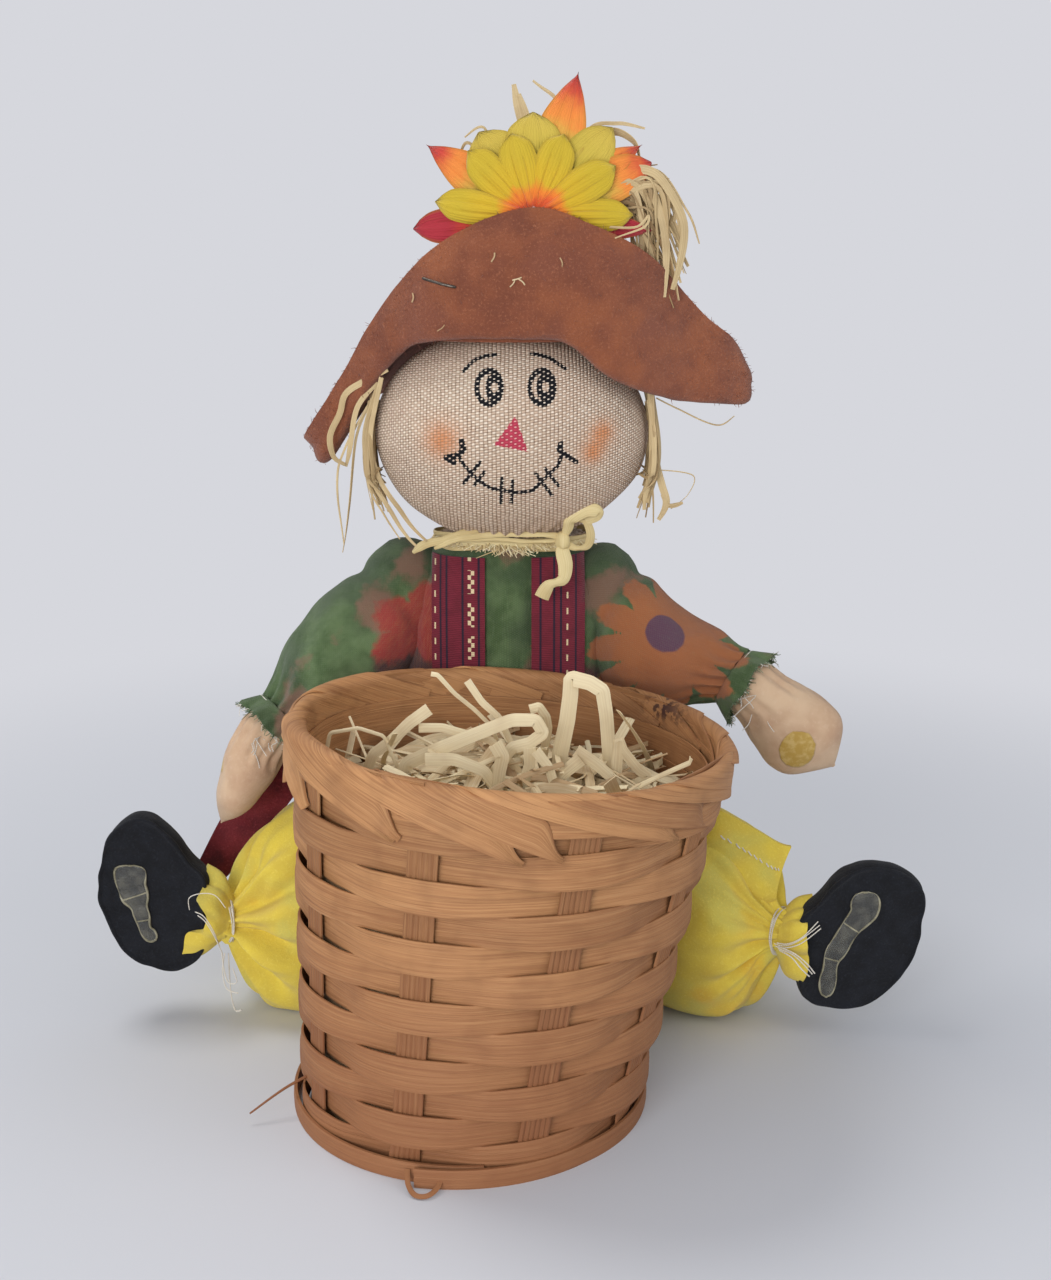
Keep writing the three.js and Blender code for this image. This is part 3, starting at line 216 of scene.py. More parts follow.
class Skin:
    """Collects points in millimetres, and faces with a cloth coordinate at each corner."""

    def __init__(self):
        self.points, self.faces, self.corners, self.count = [], [], [], 0
        self.tones = []

    def add(self, points, faces, corners, tone=0.0):
        self.points.append(np.asarray(points, float).reshape(-1, 3))
        self.faces += (np.asarray(faces) + self.count).tolist()
        self.corners.append(np.asarray(corners, float).reshape(-1, 2))
        self.tones.append(np.broadcast_to(np.asarray(tone, float), len(self.points[-1])))
        self.count += len(self.points[-1])

    def rings(self, rows, u=None, v=None, wrap=True, loop=False, capped=True, tone=0.0, place=None):
        """Skins a row of rings. u and v are the cloth coordinates of the columns and rows, unless
        place gives one for every point."""
        rows = np.asarray(rows, float)
        r, c = rows.shape[:2]
        if u is None:
            mean = np.linalg.norm(np.diff(rows, axis=1), axis=2).mean() * c
            u = np.linspace(0, mean, c + 1)
        if v is None:
            gaps = np.linalg.norm(np.diff(rows, axis=0), axis=2).mean(axis=1)
            v = np.concatenate([[0], np.cumsum(gaps)])
            v = np.append(v, v[-1] + gaps[-1])
        tone = np.repeat(tone, c) if np.ndim(tone) else tone
        i = np.arange(r if loop else r - 1)[:, None]
        j = np.arange(c if wrap else c - 1)[None, :]
        k, n = (j + 1) % c, (i + 1) % r
        quads = np.stack([i * c + j, i * c + k, n * c + k, n * c + j], -1).reshape(-1, 4)
        i, j = np.broadcast_arrays(i, j)
        where = [(j, i), (j + 1, i), (j + 1, i + 1), (j, i + 1)]
        corners = np.stack([np.stack([u[a], v[b]], -1) for a, b in where], 2)
        if place is not None:
            corners = place.reshape(-1, 2)[quads]
        self.add(rows, quads, corners, tone)
        if wrap and capped and not loop:
            for row, at in ((0, v[0]), (r - 1, v[r - 1])):
                base = self.count - r * c + row * c
                self.faces.append(list(range(base, base + c)))
                self.corners.append(np.stack([u[:c], np.full(c, at)], -1))

    def slab(self, rows, thickness, normals=None, tone=0.0):
        """A sheet with an open edge all round, given its thickness."""
        rows = np.asarray(rows, float)
        normals = away(rows, False) if normals is None else normals
        half = np.asarray(thickness, float) / 2
        half = half[..., None] if half.ndim else half
        both = np.concatenate([rows + normals * half, (rows - normals * half)[:, ::-1]], axis=1)
        width = np.linalg.norm(np.diff(rows, axis=1), axis=2).mean(axis=0)
        u = np.concatenate([[0], np.cumsum(width)])
        self.rings(both, u=np.concatenate([u, u[::-1], u[:1]]), tone=tone)

    def sleeve(self, rows, thickness, tone=0.0):
        """A sheet closed into a tube, given its thickness."""
        normals = away(rows) * thickness / 2
        self.rings(np.concatenate([rows + normals, (rows - normals)[::-1]]), loop=True, tone=tone)

    def tube(self, path, radius, sides=6, hint=(0, 0, 1), flat=1.0, tone=0.0):
        """A round or flattened tube along a path."""
        path = np.asarray(path, float)
        _, side, up = frames(path, hint)
        angle = np.arange(sides) / sides * TURN
        radius = np.broadcast_to(np.asarray(radius, float), len(path))[:, None, None]
        ring = side[:, None] * np.cos(angle)[:, None] + up[:, None] * (flat * np.sin(angle))[:, None]
        self.rings(path[:, None] + radius * ring, tone=tone)

    def ribbon(self, path, facing, width, thickness, bow=0.0, columns=3, tone=0.0):
        """A strip whose face looks one way, bowed across its width."""
        path = np.asarray(path, float)
        along = unit(np.gradient(path, axis=0))
        across = unit(np.cross(along, np.broadcast_to(np.asarray(facing, float), path.shape)))
        outward = np.cross(across, along)
        w = np.linspace(-1, 1, columns)
        half = np.broadcast_to(np.asarray(width, float) / 2, len(path))
        middle = path[:, None] + across[:, None] * (half[:, None] * w)[..., None]
        bend = (thickness / 2 - bow * w ** 2)[None, :, None] * outward[:, None]
        under = bend - thickness * outward[:, None]
        both = np.concatenate([middle + bend, (middle + under)[:, ::-1]], axis=1)
        u = w * float(np.max(half))
        self.rings(both, u=np.concatenate([u, u[::-1], u[:1]]), tone=tone)

    def blob(self, centre, halves, turn=None, wobble=0.0, seed=0, across=18, down=10):
        """A rounded lump of given half sizes."""
        tilt = np.linspace(0.05, math.pi - 0.05, down)[:, None]
        angle = (np.arange(across) / across * TURN)[None, :]
        x, y = np.sin(tilt) * np.cos(angle), np.sin(tilt) * np.sin(angle)
        ball = np.stack(np.broadcast_arrays(x, y, np.cos(tilt)), -1)
        ball = ball * (1 + wobble * noise(ball, 0.7, seed))[..., None] * np.asarray(halves)
        if turn is not None:
            ball = ball @ np.asarray(turn).T
        self.rings(ball + np.asarray(centre))

    def piece(self, name, material, body, nodes=(), slot=None, fields=None, crease=50):
        """Makes the object, puts it on its body when the body is given by name, and hides the solids it stands for."""
        points = np.concatenate(self.points) * MM
        mesh = bpy.data.meshes.new(name)
        mesh.from_pydata(points.tolist(), [], self.faces)
        cloth = mesh.uv_layers.new(name="cloth")
        cloth.data.foreach_set("uv", (np.concatenate(self.corners) * MM).astype(np.float32).ravel())
        every = {"tone": np.concatenate(self.tones), **(fields or {})}
        for key, values in every.items():
            layer = mesh.attributes.new(key, "FLOAT", "POINT")
            layer.data.foreach_set("value", np.asarray(values, np.float32).ravel())
        turned = bmesh.new()
        turned.from_mesh(mesh)
        bmesh.ops.recalc_face_normals(turned, faces=turned.faces)
        turned.to_mesh(mesh)
        turned.free()
        mesh.shade_smooth()
        mesh.set_sharp_from_angle(angle=math.radians(crease))
        mesh.materials.append(material)
        made = bpy.data.objects.new(name, mesh)
        bpy.context.scene.collection.objects.link(made)
        if isinstance(body, str):
            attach(made, body)
        else:
            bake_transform(made)
        if nodes:
            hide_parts(*nodes)
        return made


# Materials

def rgb(red, green, blue):
    """A colour as a screen shows it, from 0 to 255, as the shader wants it."""
    levels = [c / 255 for c in (red, green, blue)]
    return tuple(c / 12.92 if c < 0.04045 else ((c + 0.055) / 1.055) ** 2.4 for c in levels) + (1.0,)


class Paint:
    """Builds one node material."""

    def __init__(self, name, roughness=0.85, **fixed):
        self.material = bpy.data.materials.new(name)
        self.material.use_nodes = True
        self.tree = self.material.node_tree
        self.shader = self.tree.nodes["Principled BSDF"]
        self.shader.inputs["Roughness"].default_value = roughness
        self.shader.inputs["Specular IOR Level"].default_value = 0.25
        for key, value in fixed.items():
            self.shader.inputs[key.replace("_", " ")].default_value = value

    def node(self, kind, settings=None, **inputs):
        made = self.tree.nodes.new("ShaderNode" + kind)
        for key, value in (settings or {}).items():
            setattr(made, key, value)
        for key, value in inputs.items():
            self.put(made.inputs[key.replace("_", " ")], value)
        return made

    def put(self, socket, value):
        if isinstance(value, bpy.types.NodeSocket):
            self.tree.links.new(value, socket)
        else:
            socket.default_value = value

    def math(self, operation, a, b=0.0, clamp=False):
        made = self.node("Math", {"operation": operation, "use_clamp": clamp})
        self.put(made.inputs[0], a)
        self.put(made.inputs[1], b)
        return made.outputs[0]

    def mix(self, share, a, b, blend="MIX"):
        made = self.node("Mix", {"data_type": "RGBA", "blend_type": blend})
        self.put(made.inputs[0], share)
        self.put(made.inputs[6], a)
        self.put(made.inputs[7], b)
        return made.outputs[2]

    def place(self):
        """Where a point is on the doll at rest."""
        return self.node("TexCoord").outputs["Object"]

    def cloth(self):
        """Where a point is on its own strip or cloth."""
        return self.node("UVMap", {"uv_map": "cloth"}).outputs[0]

    def field(self, name):
        return self.node("Attribute", {"attribute_name": name}).outputs["Fac"]

    def stretched(self, vector, x, y, z=1.0):
        return self.node("Mapping", Vector=vector, Scale=(x, y, z)).outputs[0]

    def noise(self, size, detail=2.0, vector=None, roughness=0.55):
        """Noise from 0 to 1 with bumps of about that size in millimetres."""
        vector = self.place() if vector is None else vector
        made = self.node("TexNoise", Vector=vector, Scale=1000 / size, Detail=detail, Roughness=roughness)
        return made.outputs[0]

    def step(self, value, low, high, start=0.0, end=1.0):
        made = self.node("MapRange", {"interpolation_type": "SMOOTHSTEP"})
        for index, item in enumerate((value, low, high, start, end)):
            self.put(made.inputs[index], item)
        return made.outputs[0]

    def axes(self, vector):
        return self.node("SeparateXYZ", Vector=vector).outputs

    def colour(self, value):
        self.put(self.shader.inputs["Base Color"], value)

    def roughen(self, value):
        self.put(self.shader.inputs["Roughness"], value)

    def bump(self, height, depth, strength=1.0):
        """Bumps of a depth in millimetres, for a height from 0 to 1."""
        bump = self.node("Bump", Height=height, Distance=depth * MM, Strength=strength)
        normal = self.shader.inputs["Normal"]
        if normal.is_linked:
            self.put(bump.inputs["Normal"], normal.links[0].from_socket)
        self.put(normal, bump.outputs[0])

    def threads(self, pitch, wander=0.25, squat=1.0, skew=0.0):
        """Height of a plain weave, and which of its threads is on top, on the cloth coordinates."""
        u, v = self.axes(self.cloth())[:2]
        v = self.math("SUBTRACT", v, self.math("MULTIPLY", u, skew))
        drift = self.math("MULTIPLY", self.noise(7, 1), 4 * pitch * MM)
        waves = []
        for value, push, size in ((u, wander, pitch), (v, -wander, pitch * squat)):
            moved = self.math("ADD", value, self.math("MULTIPLY", drift, push))
            waves.append(self.math("SINE", self.math("MULTIPLY", moved, math.pi / (size / 2 * MM))))
        crossing = self.math("MULTIPLY", *waves)
        height = self.math("POWER", self.math("ABSOLUTE", crossing), 0.5)
        return height, self.step(crossing, -0.15, 0.15)


def felt(name, base, light, dark, mottle=9, fuzz=0.35, sheen=0.3, patches=()):
    """Pressed wool: mottled, with fine fibres all over."""
    paint = Paint(name, 0.95, Sheen_Weight=sheen, Sheen_Roughness=0.6)
    broad = paint.noise(mottle, 3)
    fine = paint.noise(0.9, 4, roughness=0.75)
    shade = paint.mix(paint.step(broad, 0.3, 0.7), dark, base)
    for n, tint in enumerate(patches):
        shade = paint.mix(paint.step(paint.noise(31 - 6 * n, 2), 0.5, 0.66, 0, 0.7), shade, tint)
    shade = paint.mix(paint.step(fine, 0.5, 0.74, 0, 0.75), shade, light)
    shade = paint.mix(paint.step(paint.noise(0.5, 2), 0.6, 0.42, 0, 0.3), shade, dark)
    paint.colour(shade)
    paint.bump(fine, fuzz)
    paint.bump(broad, 0.5, 0.5)
    return paint.material


def fibre(name, pale, deep, dark, streak=0.5, length=26, lines=0.35, relief=0.22):
    """Split plant fibre: streaks along the strip, and each strip of its own tone."""
    paint = Paint(name, 0.62)
    cloth = paint.cloth()
    fine = paint.noise(streak, 3, paint.stretched(cloth, 1, streak / length), 0.7)
    line = paint.noise(0.7 * streak, 2, paint.stretched(cloth, 1, 0.3 * streak / length), 0.6)
    shade = paint.mix(paint.step(fine, 0.3, 0.72), deep, pale)
    tone = paint.field("tone")
    shade = paint.mix(paint.math("ABSOLUTE", paint.math("MULTIPLY", tone, 0.8)), shade,
                      paint.mix(paint.step(tone, -0.2, 0.2), dark, pale))
    shade = paint.mix(paint.step(paint.noise(14, 2), 0.45, 0.75, 0, 0.3), shade, dark)
    shade = paint.mix(paint.step(line, 0.56, 0.66, 0, lines), shade, dark)
    paint.colour(shade)
    paint.bump(fine, relief)
    paint.bump(line, -0.7 * relief)
    return paint


def burlap():
    """Coarse cloth with the face printed on its threads."""
    paint = Paint("burlap", 0.9)
    height, on_top = paint.threads(WEAVE, 0.06, 0.66, 0.16)
    cloth = paint.cloth()
    weft = paint.noise(1.1, 2, paint.stretched(cloth, 0.12, 1))
    warp = paint.noise(1.1, 2, paint.stretched(cloth, 1, 0.12))
    uneven = paint.math("MULTIPLY", paint.math("SUBTRACT", paint.noise(2.6, 2), 0.5), 0.7)
    relief = paint.math("ADD", height, uneven)
    # Painted shade in the hollows between the threads, and a painted highlight on the tops of the threads that lie
    # over.
    shade = paint.mix(paint.step(relief, 0.05, 0.5), rgb(142, 112, 90), rgb(220, 194, 170))
    bright = paint.math("MULTIPLY", on_top, paint.step(relief, 0.5, 0.85))
    shade = paint.mix(bright, shade, rgb(252, 238, 220))
    shade = paint.mix(paint.step(weft, 0.55, 0.8, 0, 0.35), shade, rgb(172, 140, 112))
    shade = paint.mix(paint.step(warp, 0.55, 0.8, 0, 0.3), shade, rgb(236, 216, 190))
    shade = paint.mix(paint.step(paint.noise(24, 2), 0.4, 0.7, 0, 0.25), shade, rgb(212, 176, 152))
    bare = paint.math("MULTIPLY", on_top, paint.step(height, 0.72, 0.88))
    blush = paint.math("MULTIPLY", paint.field("blush"), paint.step(height, 0.2, 0.7, 0.5, 1.0))
    shade = paint.mix(blush, shade, rgb(228, 138, 72))
    wobble = paint.math("MULTIPLY", paint.math("SUBTRACT", height, 0.55), 0.5)
    for field, tint, dots in (("nose", rgb(206, 72, 94), 0.45), ("ink", rgb(22, 22, 27), 0.85)):
        inside = paint.step(paint.math("ADD", paint.field(field), wobble), 0.2, -0.08)
        kept = paint.math("SUBTRACT", 1.0, paint.math("MULTIPLY", bare, dots))
        shade = paint.mix(paint.math("MULTIPLY", inside, kept), shade, tint)
    paint.colour(shade)
    paint.bump(height, 0.6)
    paint.bump(paint.noise(0.35, 3), 0.08)
    return paint.material


def shirt_print():
    """Thin green cotton, printed with rusty patches and autumn blooms."""
    paint = Paint("shirt", 0.85, Sheen_Weight=0.15)
    cloth = paint.cloth()
    streak = paint.noise(0.8, 3, paint.stretched(cloth, 1, 0.12), 0.7)
    shade = paint.mix(paint.step(paint.noise(9, 3), 0.32, 0.68), rgb(64, 90, 48), rgb(98, 122, 78))
    shade = paint.mix(paint.step(streak, 0.45, 0.8, 0, 0.35), shade, rgb(112, 130, 94))
    shade = paint.mix(paint.step(paint.noise(30, 2), 0.42, 0.62, 0, 0.6), shade, rgb(52, 72, 48))
    ragged = paint.math("MULTIPLY", paint.math("SUBTRACT", paint.noise(3.2, 4), 0.5), 7.0)
    patch = paint.math("ADD", paint.noise(27, 1), paint.math("MULTIPLY", ragged, 0.02))
    shade = paint.mix(paint.step(patch, 0.60, 0.68, 0, 0.8), shade, rgb(140, 100, 84))
    layers = (
        ("plum", rgb(76, 34, 52), 2.5, 1.0), ("red", rgb(164, 44, 46), 2.0, 1.2),
        ("orange", rgb(176, 102, 60), 1.0, 1.0), ("purple", rgb(92, 58, 88), 0.5, 0.12),
    )
    for field, tint, soft, rough in layers:
        reach = paint.math("ADD", paint.field(field), paint.math("MULTIPLY", ragged, rough))
        vein = paint.mix(paint.step(streak, 0.35, 0.8, 0, 0.3 * min(rough, 1)), tint, rgb(200, 124, 74))
        shade = paint.mix(paint.step(reach, soft, -soft, 0, 0.94), shade, vein)
    shade = paint.mix(paint.step(paint.noise(0.7, 2), 0.6, 0.75, 0, 0.2), shade, rgb(134, 150, 118))
    height, on_top = paint.threads(0.9, 0.08)
    # Painted shade in the hollows of the weave.
    shade = paint.mix(paint.step(height, 0.6, 0.2, 0, 0.3), shade, rgb(44, 54, 34))
    shade = paint.mix(paint.math("MULTIPLY", on_top, 0.06), shade, rgb(190, 190, 160))
    paint.colour(shade)
    paint.bump(height, 0.2)
    paint.bump(paint.noise(6, 4), 0.9)
    return paint.material


def woven_ribbon(name, lines, dashes, marks_at):
    """Maroon ribbon with dark lines, a dashed line and a row of stepped cream marks."""
    paint = Paint(name, 0.75, Sheen_Weight=0.2)
    u, v = paint.axes(paint.cloth())[:2]
    rib = paint.math("SINE", paint.math("MULTIPLY", v, math.pi / (0.35 * MM)))
    shade = paint.mix(paint.step(rib, -1, 1), rgb(104, 26, 42), rgb(126, 36, 54))
    shade = paint.mix(paint.step(paint.noise(6, 2), 0.4, 0.7, 0, 0.5), shade, rgb(92, 22, 36))

    def line(at, half, soft=0.12, shift=0.0):
        off = paint.math("ABSOLUTE", paint.math("SUBTRACT", paint.math("SUBTRACT", u, at * MM), shift))
        return paint.step(off, (half + soft) * MM, (half - soft) * MM)

    def repeat(period, share, offset=0.0):
        shifted = paint.math("ADD", v, offset * MM)
        phase = paint.math("FRACT", paint.math("MULTIPLY", shifted, 1 / (period * MM)))
        return paint.math("LESS_THAN", phase, share)

    for at in lines:
        shade = paint.mix(line(at, 0.42), shade, rgb(40, 24, 44))
    dash = paint.math("MULTIPLY", line(dashes, 0.36, 0.08), repeat(5.9, 0.4))
    step_side = paint.math("SUBTRACT", repeat(3.4, 0.5), 0.5)
    block = line(marks_at, 0.62, 0.08, paint.math("MULTIPLY", step_side, 1.2 * MM))
    marks = paint.math("MULTIPLY", block, repeat(12.4, 0.72, 2))
    shade = paint.mix(paint.math("MAXIMUM", dash, marks), shade, rgb(226, 205, 164))
    paint.colour(shade)
    paint.bump(rib, 0.08)
    return paint.material


def hand_cloth():
    """Thin cream cloth drawn tight over stuffing."""
    paint = Paint("hand_cloth", 0.8, Sheen_Weight=0.15)
    shade = paint.mix(paint.step(paint.noise(16, 3), 0.3, 0.7), rgb(188, 152, 122), rgb(210, 180, 148))
    shade = paint.mix(paint.step(paint.noise(1.6, 3), 0.5, 0.8, 0, 0.3), shade, rgb(220, 196, 168))
    dab = paint.math("ADD", paint.field("glue"), paint.math("MULTIPLY", paint.noise(2.5, 2), 1.2))
    dab = paint.step(dab, 0.9, 0.35)
    tint = paint.mix(paint.step(paint.noise(2.2, 3), 0.4, 0.7), rgb(182, 148, 70), rgb(200, 170, 104))
    shade = paint.mix(dab, shade, tint)
    paint.roughen(paint.mix(dab, (0.8, 0.8, 0.8, 1), (0.4, 0.4, 0.4, 1)))
    paint.bump(dab, 0.35)
    paint.colour(shade)
    height, _ = paint.threads(0.7, 0.05)
    paint.bump(height, 0.06)
    paint.bump(paint.noise(4, 3), 0.3)
    return paint.material


def thread():
    """Fine twisted cotton."""
    paint = Paint("thread", 0.8)
    u, v = paint.axes(paint.cloth())[:2]
    twist = paint.math("SINE", paint.math("MULTIPLY", paint.math("ADD", u, v), math.pi / (0.35 * MM)))
    paint.colour(paint.mix(paint.step(twist, -1, 1), rgb(198, 190, 176), rgb(240, 236, 226)))
    paint.bump(twist, 0.05)
    return paint.material


def yarn(name, pale, deep):
    """Loose threads of a frayed edge."""
    paint = Paint(name, 0.9)
    tone = paint.field("tone")
    paint.colour(paint.mix(paint.step(tone, -1, 1), deep, pale))
    paint.bump(paint.noise(0.5, 2), 0.06)
    return paint.material


def petals(name, stops):
    """Printed cloth petals: colours run from the heart to the tip, with creases, and painted shade along the edges and
    the creases.
    """
    paint = Paint(name, 0.7, Sheen_Weight=0.25)
    u = paint.axes(paint.cloth())[0]
    vein = paint.noise(1.1, 2, paint.stretched(paint.cloth(), 1, 0.05), 0.6)
    grain = paint.math("MULTIPLY", paint.math("SUBTRACT", paint.noise(5, 3), 0.5), 0.2)
    reach = paint.math("ADD", paint.field("tone"), grain)
    shade = stops[0][1]
    for (low, _), (high, tint) in zip(stops, stops[1:]):
        shade = paint.mix(paint.step(reach, low, high), shade, tint)
    shade = paint.mix(paint.step(vein, 0.5, 0.8, 0, 0.16), shade, rgb(150, 112, 26))
    # Painted shade along each petal's edges and creases, read from the field edge.
    shade = paint.mix(paint.step(paint.field("edge"), 0.76, 1.0, 0, 0.42), shade, rgb(150, 122, 38))
    paint.colour(shade)
    weave = paint.math("SINE", paint.math("MULTIPLY", u, math.pi / (0.4 * MM)))
    paint.bump(weave, 0.05)
    paint.bump(vein, 0.2)
    return paint.material


def dried_glue(name, tint, alpha, cloudy_tint):
    """A dab of clear hot glue."""
    paint = Paint(name, 0.32, Alpha=alpha, Coat_Weight=0.3)
    paint.shader.inputs["Specular IOR Level"].default_value = 0.4
    cloudy = paint.noise(4, 2)
    paint.colour(paint.mix(paint.step(cloudy, 0.35, 0.7), tint, cloudy_tint))
    paint.bump(cloudy, 0.5)
    return paint.material


def wire():
    paint = Paint("staple", 0.35, Metallic=0.9)
    paint.colour(paint.mix(paint.noise(1.2, 3), rgb(52, 46, 42), rgb(120, 112, 104)))
    paint.bump(paint.noise(0.6, 2), 0.04)
    return paint.material


def splint():
    """Split bamboo, with a dark stain inside the rim at the back right, and painted shade that darkens it towards the
    bottom and the right.
    """
    paint = fibre("splint", rgb(196, 146, 98), rgb(164, 114, 74), rgb(104, 66, 42), 0.5, 34, 0.35)
    shade = paint.shader.inputs["Base Color"].links[0].from_socket
    x, y, z = paint.axes(paint.place())
    wide_streak = paint.noise(2.2, 2, paint.stretched(paint.cloth(), 1, 0.04), 0.6)
    shade = paint.mix(paint.step(wide_streak, 0.5, 0.72, 0, 0.4), shade, rgb(134, 88, 56))
    shade = paint.mix(paint.step(wide_streak, 0.42, 0.3, 0, 0.4), shade, rgb(204, 156, 108))
    # Painted shade: darker towards the floor and towards the right side, as if lit from the upper left.
    shade = paint.mix(paint.step(z, 0.13, 0.0, 0, 0.72), shade, rgb(136, 86, 57))
    shade = paint.mix(paint.step(x, -0.02, 0.07, 0, 0.25), shade, rgb(118, 76, 50))
    near = 1.0
    for value, at, half in ((x, 48, 17), (y, -66, 16), (z, 128, 9)):
        off = paint.math("ABSOLUTE", paint.math("SUBTRACT", value, at * MM))
        near = paint.math("MULTIPLY", near, paint.step(off, half * MM, 0.3 * half * MM))
    spots = paint.step(paint.noise(3.4, 4), 0.47, 0.56)
    shade = paint.mix(paint.math("MULTIPLY", near, spots), shade, rgb(66, 42, 38))
    paint.colour(shade)
    return paint.material


HAT_FELT = felt("hat_felt", rgb(143, 80, 50), rgb(178, 114, 80), rgb(120, 64, 42), 10, 0.6, 0.2,
                (rgb(156, 88, 50), rgb(128, 72, 52)))
YELLOW_FELT = felt("trouser_felt", rgb(226, 202, 74), rgb(236, 218, 104), rgb(212, 186, 72), 12, 0.3, 0.15,
                   (rgb(226, 178, 58), rgb(200, 192, 98)))
BLACK_FELT = felt("shoe_felt", rgb(25, 27, 33), rgb(42, 45, 52), rgb(17, 18, 22), 6, 0.3, 0.05)
MAROON_FELT = felt("tail_felt", rgb(112, 26, 38), rgb(152, 60, 68), rgb(80, 16, 28), 6, 0.3, 0.15,
                   (rgb(138, 50, 58),))
RAFFIA = fibre("raffia", rgb(226, 210, 162), rgb(206, 186, 132), rgb(168, 140, 88),
               0.4, 40, 0.25, 0.1).material
HAIR = fibre("hair_raffia", rgb(214, 192, 148), rgb(186, 160, 116), rgb(128, 98, 64),
             0.4, 40, 0.25, 0.12).material
STRAW = fibre("straw", rgb(236, 222, 186), rgb(212, 188, 146), rgb(150, 108, 66),
              0.5, 40, 0.15, 0.07).material
SPLINT = splint()
BURLAP = burlap()
SHIRT = shirt_print()
RIBBONS = {
    "left": woven_ribbon("left_ribbon", (4.2, 6.8, 13.2, 19.3), 1.7, 16.4),
    "right": woven_ribbon("right_ribbon", (3.4, 8.6, 11.3, 17.6), 13.9, -9),
}
HAND = hand_cloth()
THREAD = thread()
GREEN_YARN = yarn("green_yarn", rgb(128, 140, 112), rgb(54, 78, 52))
BURLAP_YARN = yarn("burlap_yarn", rgb(244, 234, 196), rgb(208, 184, 138))
STAPLE = wire()
CLEAR_GLUE = dried_glue("clear_glue", rgb(110, 110, 106), 0.2, rgb(150, 148, 136))

PALE_GLUE = dried_glue("pale_glue", rgb(150, 144, 116), 0.55, rgb(190, 184, 156))
OUTER_PETALS = petals("petal_outer", (
    (0.1, rgb(186, 166, 52)), (0.5, rgb(204, 178, 74)), (0.72, rgb(234, 138, 60)), (0.95, rgb(206, 66, 54)),
    (1.25, rgb(172, 44, 56))))
INNER_PETALS = petals("petal_inner", (
    (0.14, rgb(222, 92, 46)), (0.28, rgb(232, 130, 44)), (0.42, rgb(206, 170, 36)), (0.8, rgb(196, 168, 42)),
    (1.1, rgb(206, 178, 58))))


def shares(count):
    """That many shares, spaced evenly from 0 to 1."""
    return np.linspace(0, 1, count)


def circle(count):
    """That many angles, spaced evenly once round."""
    return np.arange(count) / count * TURN


def puffed(rows, push):
    """The rings, pushed outward by some millimetres at each point."""
    return rows + away(rows) * push[..., None]


def facing_front(rows):
    """The direction out of the picture for every point."""
    return np.broadcast_to((0.0, -1.0, 0.0), rows.shape)


# Body

def oblong(z, half_x, half_y, x, y, angle, power):
    """Level sections, one for each height: rounded oblongs."""
    c, s = np.cos(angle), np.sin(angle)
    px = x[:, None] + half_x[:, None] * np.sign(c) * np.abs(c) ** (2 / power)
    py = y[:, None] + half_y[:, None] * np.sign(s) * np.abs(s) ** (2 / power)
    return np.stack([px, py, np.broadcast_to(z[:, None], px.shape)], -1)


def torso_shape(t):
    """Half width, half depth and shift of the shirt body at shares of its height."""
    wide = TORSO_HALF[0] * spline([0.93, 0.98, 1.04, 1.12, 1.1, 0.97, NECK_HALF[0] / TORSO_HALF[0]], t)
    deep = TORSO_HALF[1] * spline([0.96, 1, 1, 0.98, 0.93, 0.85, NECK_HALF[1] / TORSO_HALF[1]], t)
    return wide, deep, spline([0, 0, 0, 0, -1, -3, NECK_Y / 2], t)


def bloom(points, centre, normal, radius, petals, depth, turn=0.0):
    """Distance in millimetres outside a flower's outline that is printed on cloth facing a way."""
    normal = unit(np.array(normal, float))
    side = unit(np.cross((0, 0, 1), normal))
    up = np.cross(normal, side)
    arm = points - np.array(centre, float)
    x, y = arm @ side, arm @ up
    points_out = np.abs(np.sin(petals / 2 * (np.arctan2(y, x) + turn))) ** 0.55
    behind = np.maximum(-(arm @ normal) - radius, 0)
    return np.hypot(x, y) - radius * (1 - depth + depth * points_out) + behind


def shirt_fields(points):
    """Where the shirt's blooms are printed."""
    red = np.minimum(bloom(points, (-36, -26, 147), (-0.3, -1, 0), 16, 5, 0.5, 0.5),
                     bloom(points, (-30, 20, 110), (-0.2, 1, 0), 20, 7, 0.4))
    plum = np.minimum(bloom(points, (-36, -26, 131), (0, -1, 0), 16, 5, 0.4, 0.4),
                      bloom(points, (20, -26, 122), (0, -1, 0), 14, 6, 0.4))
    orange = np.minimum(bloom(points, (60, -33, 143), (0.25, -1, 0.3), 27.5, 11, 0.45),
                        bloom(points, (14, 24, 140), (0.1, 1, 0), 27, 11, 0.36, 0.3))
    purple = np.minimum(bloom(points, (58, -33, 147), (0.25, -1, 0.3), 7.3, 2, 0.02),
                        bloom(points, (14, 24, 141), (0.1, 1, 0), 7.3, 2, 0.02))
    return {"red": red, "plum": plum, "orange": orange, "purple": purple}


def build_torso():
    t = shares(90)
    angle = circle(150)
    z = TORSO_LOW + (TORSO_TOP - TORSO_LOW) * t
    wide, deep, shift = torso_shape(t)
    rows = oblong(z, wide, deep, np.full_like(t, TORSO_X), shift, angle, TORSO_POWER)
    gather = 0.9 * np.cos(17 * angle + 2 * noise(rows, 20, 3)) * step(t, 0.78, 1)[:, None]
    folds = 1.3 * noise(rows * (1, 1, 0.6), 19, 4, 2) * step(t, 0, 0.1)[:, None]
    under_ribbon = np.zeros_like(folds)
    for x in SUSPENDER_X.values():
        off = np.abs(rows[..., 0] - x)
        under_ribbon = np.maximum(under_ribbon, 1 - step(off, SUSPENDER_WIDTH / 2, SUSPENDER_WIDTH / 2 + 3))
    push = (gather + folds) * (1 - under_ribbon) - 0.5 * under_ribbon
    rows = puffed(rows, push)
    skin = Skin()
    skin.rings(rows)
    made = skin.piece("shirt_body", SHIRT, "root", ["torso"], "shirt_cotton", shirt_fields(rows))


